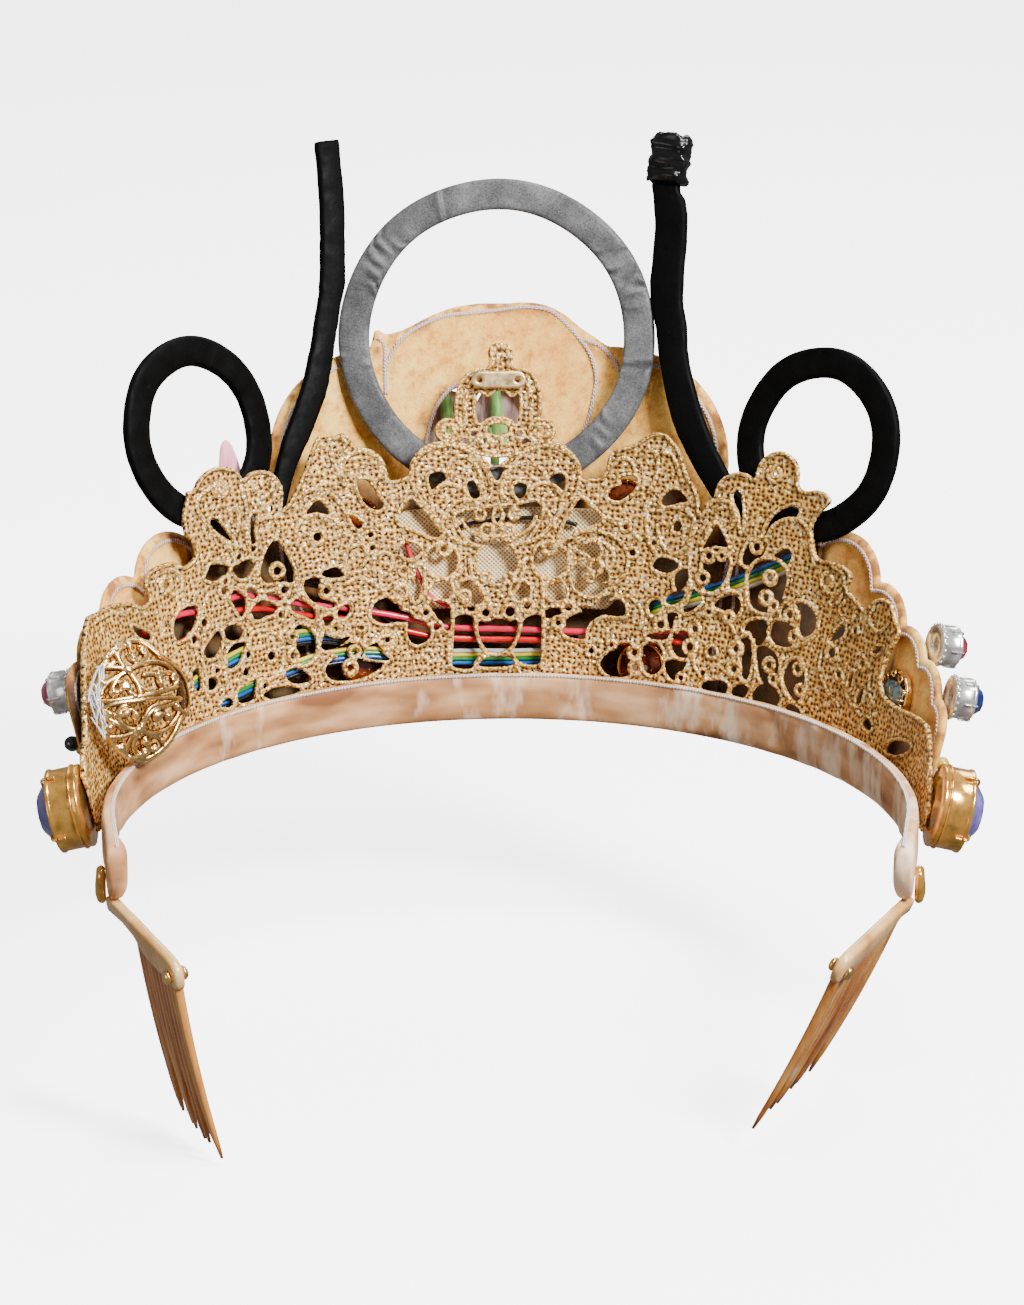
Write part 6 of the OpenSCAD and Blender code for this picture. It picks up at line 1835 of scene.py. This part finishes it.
DISC_BALLS_PX = [
    (128.5, 669.3, 3.9), (133.2, 656.8, 5.1), (143.3, 649.9, 3.3), (104.0, 655.4, 3.9),
    (100.3, 681.8, 3.9), (102.2, 694.7, 3.1), (125.3, 684.5, 5.4), (115.6, 691.5, 3.7),
    (135.0, 693.8, 2.8), (160.4, 674.4, 5.5), (161.4, 681.8, 4.3), (175.2, 678.1, 4.6),
    (112.4, 642.0, 3.1), (128.1, 642.9, 3.7), (140.1, 729.9, 5.2), (125.3, 714.1, 4.4),
    (136.4, 715.5, 4.3), (158.6, 716.0, 6.1), (168.8, 717.8, 4.3), (109.1, 713.7, 3.7),
    (109.1, 728.0, 4.3), (120.7, 748.8, 4.3), (129.9, 758.1, 2.8), (145.6, 741.9, 4.3),
    (143.8, 753.4, 3.9), (155.8, 749.3, 4.3), (177.1, 706.7, 4.1), (187.2, 712.3, 4.3),
    (137.3, 756.7, 2.8), (163.2, 740.0, 2.8)]
DISC_FILLS_PX = [
    [(172.5, 663.3), (183.6, 670.7), (190.9, 681.8), (194.5, 694.7), (191.4, 709.5), (184.0, 719.7),
     (180.8, 713.2), (182.6, 704.0), (179.9, 694.7), (180.8, 685.5), (178.0, 676.2)],
    [(89.1, 678.1), (89.7, 691.9), (92.0, 705.8), (98.5, 709.5), (102.2, 704.0), (97.6, 700.3),
     (95.7, 689.2), (93.9, 681.8)]]


def on_disc(x, y):
    """Disc coordinates of a pixel's ray where it meets the dome."""
    inv = np.linalg.inv(DISC_FRAME)
    start, way = moved(CAM_PLACE, inv), inv[:3, :3] @ pixel_ray(x, y)
    z = 3.0
    for _ in range(6):
        q = (start + way * (z - start[2]) / way[2])[:2]
        rise = math.sqrt(max(DOME.ball ** 2 - min(q @ q, DISC_R ** 2), 1)) + DISC_DOME - DOME.ball
        z = 0.5 * z + 0.5 * rise
    return q * min(1.0, DISC_R / (np.linalg.norm(q) + 1e-9))


DISC_WIRE, DISC_RIM, DISC_CELL = 0.52, 0.95, 0.14
DISC_PX = 4.6     # pixels of a millimetre on the disc


def disc_field():
    """The disc's grid, its metal, the distance to its wires, how far its balls rise, its outline."""
    g = Field(-DISC_R - 0.4, DISC_R + 0.4, -DISC_R - 0.4, DISC_R + 0.4, DISC_CELL)
    rim = [on_disc(*p) for p in DISC_RIM_PX]
    edge = np.minimum(-g.signed(spline(rim, True, 4), 3.0), -g.disc((0, 0), DISC_R - 0.1))
    near = g.full(REACH)
    for points in DISC_CORDS_PX:
        g.line(near, spline([on_disc(*p) for p in points], steps=4))
    metal = np.maximum(DISC_WIRE - near, DISC_RIM - edge)
    near = np.minimum(near, np.abs(edge - 0.5))
    for points in DISC_FILLS_PX:
        metal = np.maximum(metal, -g.signed([on_disc(*p) for p in points]))
    lift = g.full(0)
    for x, y, r_px in DISC_BALLS_PX:
        r = r_px / DISC_PX
        d = g.disc(on_disc(x, y), r)
        metal = np.maximum(metal, -d)
        lift = np.maximum(lift, np.sqrt(np.clip(-d, 0, r) * 2 * r))
    return g, np.minimum(metal, edge), near, lift, rim


g, f, near, lift, outline = disc_field()
wire = 0.5 * np.sqrt(np.clip(1 - (near / DISC_WIRE) ** 2, 0, 1))
body = rounding(f, 0.3)
inner = np.minimum(0.06 + wire + lift * 0.5, 1.0) * np.clip(body + 0.1, 0, 1)
disc, _, _ = double_sheet("filigree_disc_pierced", g, f, DOME, 0.55, inner, 0.6 * body, [FILIGREE],
                          {"rise": np.clip(wire / 0.5 * 0.9 + lift, 0, 1)})
place(disc, "filigree_disc", "gold")
mg = Merge()
rim = np.array(spline(outline, True, 6))
rim *= np.minimum(1.0, (DISC_R - 0.35) / np.linalg.norm(rim, axis=1))[:, None]
beads = 0.36 + 0.07 * np.sin(np.arange(len(rim)) * 1.9)
mg.tube(DOME.point(rim, np.full(len(rim), 0.35)), beads, closed=True, out=DISC_FRAME[:3, 2])
place(mg.make("filigree_disc_rim", [GOLD_PALE]), slot="gold")

# White thread that sews the disc on
THREAD_RUNS, THREAD_R = 12, 0.16
mg = Merge()
for k in range(THREAD_RUNS):
    a0 = rad(150 + 44 * rng.random())
    pts = []
    for t in np.linspace(0, 1, 7):
        r = DISC_R + 0.9 - 2.6 * t + 0.5 * math.sin(3 * t + k)
        a = a0 + 0.32 * math.sin(5 * t + 2.1 * k)
        z = 0.3 + 2.3 * math.sin(math.pi * t) * (0.35 + 0.5 * rng.random())
        pts.append([r * math.cos(a), r * math.sin(a), z * 0.7])
    mg.tube(moved(spline(pts, steps=4), DISC_FRAME), THREAD_R, 5, out=DISC_FRAME[:3, 2])
place(mg.make("disc_thread", [WHITE_THREAD]), slot="lace")


# Combs, rivets and clasps at the band's ends
class Flat:
    """A plane: flat coordinates are x and z of its frame."""

    def __init__(self, m):
        self.m = m

    def point(self, uv, out):
        uv = np.asarray(uv, float)
        return moved(np.stack([uv[:, 0], np.zeros(len(uv)) + out, uv[:, 1]], 1), self.m)


def tail_frame(sign):
    """Frame at a band's end: x along it, y outward, mirrored on the left."""
    flip = np.diag([float(sign), 1, 1, 1])
    return flip @ frame_of(("z", -BAND_ARC), (TAIL_L, HEAD_R + BAND_T / 2, 0))


COMB_AZ, COMB_BACK, COMB_IN, COMB_H = 112.0, 3.0, 0.5, 38.5
COMB_TURN, COMB_DROOP, COMB_CURL = 8.0, 0.16, 0.075
SPINE_H, SPINE_T, TEETH, TOOTH_W = 5.5, 2.2, 10, 1.5


def droop(x):
    """How far the comb sinks at x along its spine."""
    return COMB_DROOP * max(0.0, x)


def rounded(w, h, n):
    """Section of a bar: two rows of n numbers."""
    x, y = soft_square(n, 0.55, 0.55)
    return x * w / 2, y * h / 2


def loft(mg, rows, m, flip, mat=0):
    """Rows of ring points, all of one count, closed at both ends; flip where the frame is mirrored."""
    faces = skin(len(rows), len(rows[0]))
    if flip:
        faces = [face[::-1] for face in faces]
    mg.add(moved(np.concatenate(rows), m), faces, mat)


# Rows of the spine: place along it, top, foot and thickness
SPINE_START = ((-COMB_BACK, 0.2, -2.3, 2.0), (-COMB_BACK + 0.5, 0.25, -2.7, 2.2))
SPINE_NECK = ((0.3, 0, -0.1, -2.75, 2.0), (0.8, 0, -0.05, -3.2, SPINE_T), (1, 1.5, -0.05, -5.0, SPINE_T),
              (1, 3.5, -0.05, -5.4, SPINE_T))
SPINE_END = ((0.85, 0, -0.05, -5.5, SPINE_T), (1, -1.6, -0.3, -5.5, SPINE_T), (1, -0.5, -1.0, -5.2, 1.9),
             (1, 0, -2.3, -4.2, 1.2))


def comb_spine(mg, m, neck, reach, flip):
    """The spine: its neck and its end lie at shares of two lengths."""
    stops = list(SPINE_START)
    for length, part in ((neck, SPINE_NECK), (reach, SPINE_END)):
        stops += [(length * share + more, *rest) for share, more, *rest in part]
    rows = []
    for x, top, low, wide in stops:
        y, z = rounded(wide, top - low, 14)
        rows.append(np.stack([np.full(len(y), x), y, (top + low) / 2 + z - droop(x)], 1))
    loft(mg, rows, m, flip)


def comb_tooth(mg, m, i, x0, flip):
    """A tooth that narrows, curls inward and spreads from its neighbours."""
    spread = (i / (TEETH - 1) - 0.5) * 2
    drop = COMB_H - 1.2 + 1.6 * i / (TEETH - 1) - rng.random() * 0.7
    rows = []
    for t in np.linspace(0, 1, 13):
        tip = 1 if t < 0.97 else 0.6
        wide = TOOTH_W * (1.0 - 0.1 * t - 0.35 * t ** 3) * tip
        thick = (SPINE_T * 0.82) * (1 - 0.35 * t - 0.2 * t * t) * tip
        z = -SPINE_H * 0.6 - (drop - SPINE_H * 0.6) * t
        y = -COMB_H * COMB_CURL * (0.25 * t + 0.75 * t * t) + 0.45 * math.sin(2.2 * i) * t * t
        x = x0 + spread * 0.5 * t * t + (i == TEETH - 1) * 1.9 * t * t
        across, deep = rounded(wide, thick, 10)
        rows.append(np.stack([x + across, y + deep, np.full(len(across), z - droop(x0))], 1))
    loft(mg, rows, m, flip, mat=1)


RIVET = ((0.01, -1.1), (0.6, -1.06), (1.0, -0.9), (1.22, -0.66), (1.3, -0.42), (1.28, -0.25), (1.1, -0.12),
         (0.01, -0.12))
CLASP_T, CLASP_W, CLASP_H, CLASP_HOLE, CLASP_CELL = 1.0, 4.0, 7.0, 0.5, 0.18
# Combs: tilt outward, how far the spine reaches, where its neck ends
for side, sign, tilt, reach, neck in (("left", -1, 7.0, 23.5, 9.0), ("right", 1, 21.0, 22.0, 2.0)):
    sunk = GAP + SPINE_T / 2 * math.sin(rad(tilt))
    m = tail_frame(sign) @ frame_of((0, -COMB_IN, -sunk), ("z", BAND_ARC - COMB_AZ - COMB_TURN), ("x", -tilt))
    mg = Merge()
    comb_spine(mg, m, neck, reach, sign < 0)
    start, end = neck - SPINE_T / 2, reach - SPINE_T / 2
    pitch = (end - start - TOOTH_W) / (TEETH - 1)
    for i in range(TEETH):
        comb_tooth(mg, m, i, start + TOOTH_W / 2 + i * pitch, sign > 0)
    place(mg.make(f"comb_{side}_horn", [HORN_SPINE, HORN_TEETH]), f"comb_{side}", "comb")
    # A rivet with a head on either face
    mg = Merge()
    at = reach - SPINE_T
    c = m @ frame_of((at, -SPINE_T / 2 - 0.1, -SPINE_H * 0.6 - droop(at)))
    revolved(mg, c, RIVET, 28)
    revolved(mg, c @ frame_of((0, SPINE_T + 0.2, 0), ("z", 180)), RIVET, 28)
    place(mg.make(f"rivet_{side}_head", [WARM_GOLD]), f"rivet_{side}", "gold")
    # A domed clasp with one hole
    c = tail_frame(sign) @ frame_of((-CLASP_W, BAND_T / 2 + GAP + CLASP_T / 2, BAND_H * 0.15))
    g = Field(-CLASP_W / 2 - 0.3, CLASP_W / 2 + 0.3, -CLASP_H / 2 - 0.3, CLASP_H / 2 + 0.3, CLASP_CELL)
    f = CLASP_W / 2 - np.hypot(g.X, np.maximum(np.abs(g.Y) - (CLASP_H - CLASP_W) / 2, 0))
    f = np.minimum(f, g.disc((0, CLASP_H / 2 - 1.2), CLASP_HOLE))
    half = 0.5 * rounding(f, 0.5)
    domed = half + 0.9 * rounding(f, 1.8)
    clasp, _, _ = double_sheet(f"clasp_{side}_plate", g, f, Flat(c), 0.0, half * 1.4, domed * 0.85,
                               [BEZEL_GOLD])
    place(clasp, f"clasp_{side}", "gold")

# Small bare plate with two holes
CROWN_AZ, PLATE_L, PLATE_W, PLATE_T, PLATE_HOLE, PLATE_CELL = -1.5, 11.0, 3.5, 0.8, 1.0, 0.16
low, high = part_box("name_plate")
mid = (np.array(low) + np.array(high)) / 2 / MM
m = frame_of(tuple(float(x) for x in mid), ("z", -CROWN_AZ), ("x", -LACE_LEAN))
g = Field(-PLATE_L / 2 - 0.3, PLATE_L / 2 + 0.3, -PLATE_W / 2 - 0.3, PLATE_W / 2 + 0.3, PLATE_CELL)
hole_x = (PLATE_L - PLATE_W) / 2
f = PLATE_W / 2 - 0.05 - np.hypot(np.maximum(np.abs(g.X) - hole_x, 0), g.Y)
for s in (-1, 1):
    f = np.minimum(f, g.disc((s * hole_x, 0), PLATE_HOLE / 2))
half = PLATE_T / 2 * rounding(f, 0.28)
plate, _, _ = double_sheet("name_plate_bare", g, f, Flat(m), 0.0, half, half, [PLATE_GOLD])
place(plate, "name_plate", "plate")

# Beads, stems and petal
BEAD_CAP = 0.16     # angle that a bead's hole takes at each end
for name, az, z, d, look, slot in (("bead_black", -81, 13.5, 3.0, JET, "bead_black"),
                                   ("bead_yellow_left", -78, 11, 2.7, LEMON, "bead_yellow"),
                                   ("bead_yellow_right", 81, 9.5, 2.7, LEMON, "bead_yellow")):
    m = on_side_felt(az, z) @ frame_of((0, d / 2, 0))
    rings, sides = 10, 14
    verts = []
    for i in range(rings + 1):
        th = BEAD_CAP + (math.pi - 2 * BEAD_CAP) * i / rings
        for k in range(sides):
            a = 2 * math.pi * k / sides
            r = d / 2 * (1 + 0.02 * math.cos(7 * a))
            verts.append([r * math.sin(th) * math.cos(a), r * math.cos(th), r * math.sin(th) * math.sin(a)])
    mg = Merge()
    mg.add(moved(verts, m), skin(rings + 1, sides, flip=True))
    place(mg.make(name + "_round", [look]), name, slot)


def leaf(mg, m, length, width, cup, bend, twist=0.0, mat=0, thick=0.3, rows=12, cols=8, blunt=1.0):
    """A cupped leaf from the frame's origin up its z axis."""
    verts, faces = [], []
    for layer in (0, 1):
        for i in range(rows + 1):
            t = i / rows
            w = width / 2 * max(0.0, math.sin(math.pi * min(1, 0.08 + 0.92 * t) ** 0.75)) ** blunt + 0.1
            for k in range(cols + 1):
                s = 2 * k / cols - 1
                x = s * w
                y = cup * (s * s - 0.4) * w + bend * t * t + 0.12 * math.sin(9 * s + 3 * t)
                z = length * t
                c, q = math.cos(twist * t), math.sin(twist * t)
                thin = math.sqrt(max(0.02, 1 - s * s)) * math.sqrt(max(0.05, 1 - (2 * t - 1) ** 4))
                off = thick * (0.5 - layer) * thin
                verts.append([x * c - y * q, x * q + y * c + off, z])
    n = (rows + 1) * (cols + 1)
    step = cols + 1
    for i in range(rows):
        for k in range(cols):
            a, b = i * step + k, i * step + k + 1
            c, d = a + step + 1, a + step
            faces.append((a, b, c, d))
            faces.append((n + d, n + c, n + b, n + a))
    rim = (list(range(cols)) + [i * step + cols for i in range(rows)]
           + [rows * step + k for k in range(cols, 0, -1)] + [i * step for i in range(rows, 0, -1)])
    for i, a in enumerate(rim):
        b = rim[(i + 1) % len(rim)]
        faces.append((b, a, n + a, n + b))
    mg.add(moved(verts, m), faces, mat)


STEM_D, STEM_L, STEM_STEPS = 2.6, 33.8, 15
STEM_Z = 0.687 * RING_Z     # the middle of the felt's opening
# Petals behind the opening: place across and up, and turn in degrees
PETAL_SPOTS = {
    # The left stem's grey-brown petals are dark sheets standing for the shade in that corner of the opening
    "left": ((-1, 1, -50), (0, 0, 0), (-1, -2, -120), (0, -3, 170)),
    "right": ((-4, 2, -35), (0, 1, -8), (4, 2, 26), (5, 0, 58), (-4, 0, -70), (5, -3, 100), (-4, -3, -110),
              (2, -4, 150), (-2, -4, -150), (4, 3, -10))}
for side, az in (("left", -7.7), ("right", -1.8)):
    m = wall_frame(az, STEM_Z, felt_face(STEM_Z) + FELT_THROUGH + GAP + STEM_D / 2, FELT_LEAN, FELT_SHIFT)
    mg = Merge()
    along = np.linspace(-1, 1, STEM_STEPS)
    pts = [[0.25 * math.sin(t * 5), 0.1 * math.cos(t * 4), t * STEM_L / 2] for t in along]
    radii = [STEM_D / 2 * (0.86 + 0.14 * math.sin(6 * t)) for t in along]
    mg.tube(moved(pts, m), radii, 14, out=m[:3, 1])
    for i, (x, z, turn) in enumerate(PETAL_SPOTS[side]):
        mm = m @ frame_of((x, 1.4 + 0.35 * (i % 3), z), ("y", turn))
        leaf(mg, mm, 11.0, 8.5, 0.12, 0.5, mat=1)
    if side == "right":
        for turn in (-24, 20):
            mm = m @ frame_of((0, -0.6, -1.5), ("y", turn))
            leaf(mg, mm, 6.0, 3.2, 0.2, -0.2)
    place(mg.make(f"stem_{side}_green", [STEM, PETAL_GREY]), f"stem_{side}", "stem")

PETAL_L, PETAL_W, PETAL_T, PETAL_AZ = 15.0, 5.6, 1.8, -37.6
m = on_side_felt(PETAL_AZ, SIDE_H * 0.96) @ frame_of((0, PETAL_T / 2, PETAL_L * 0.3 - PETAL_L / 2))
mg = Merge()
leaf(mg, m, PETAL_L, PETAL_W, 0.12, 0.2, twist=0.15, thick=1.0, rows=24, cols=12, blunt=0.45)
place(mg.make("petal_pink_leaf", [PETAL]), "petal", "petal")

# Camera, light and floor
SENSOR_MM = 36.0
cam = bpy.data.cameras.new("camera")
cam.sensor_fit = "VERTICAL"
cam.sensor_height = SENSOR_MM
cam.lens = CAM_FOCUS_PX * SENSOR_MM / PHOTO_H
cam.clip_start, cam.clip_end = 0.05, 20
cam_object = bpy.data.objects.new("camera", cam)
bpy.context.scene.collection.objects.link(cam_object)
cam_object.location = Vector(CAM_PLACE) * MM
cam_object.rotation_euler = (math.pi / 2 - CAM_ELEVATION, 0, 0)
bpy.context.scene.camera = cam_object

world = bpy.data.worlds.new("studio")
bpy.context.scene.world = world
world.use_nodes = True
sky = world.node_tree.nodes["Background"]
sky.inputs["Color"].default_value = (1, 1, 1, 1)
sky.inputs["Strength"].default_value = 0.26


AIM = (0, 0.03, 0.03)


def softbox(name, place_m, size, power):
    """A square light that looks at the diadem."""
    d = bpy.data.lights.new(name, "AREA")
    d.shape, d.size, d.energy = "SQUARE", size, power
    o = bpy.data.objects.new(name, d)
    bpy.context.scene.collection.objects.link(o)
    o.location = place_m
    o.rotation_euler = (Vector(AIM) - Vector(place_m)).to_track_quat("-Z", "Y").to_euler()


softbox("key", (0.6, -0.6, 0.75), 0.26, 32.0)
softbox("top", (0.25, -0.1, 1.0), 0.3, 13.0)
softbox("fill", (-0.8, -0.6, 0.2), 0.5, 2.0)
softbox("back", (0.2, 0.9, 0.7), 0.5, 6.0)


FLOOR_Z, FLOOR_HALF = -43.5, 3000.0
corners = [(x * FLOOR_HALF, y * FLOOR_HALF, FLOOR_Z) for x, y in ((-1, -1), (1, -1), (1, 1), (-1, 1))]
pale, _, _ = new_look("floor_pale", (0.93, 0.93, 0.93), 0.9, Emission_Color=(1, 1, 1, 1),
                      Emission_Strength=3.6)
floor = mesh_object("floor", corners, [(0, 1, 2, 3)], [pale], smooth=False)
floor.visible_diffuse = False
floor.visible_glossy = False
floor.visible_transmission = False

bpy.context.view_layer.update()
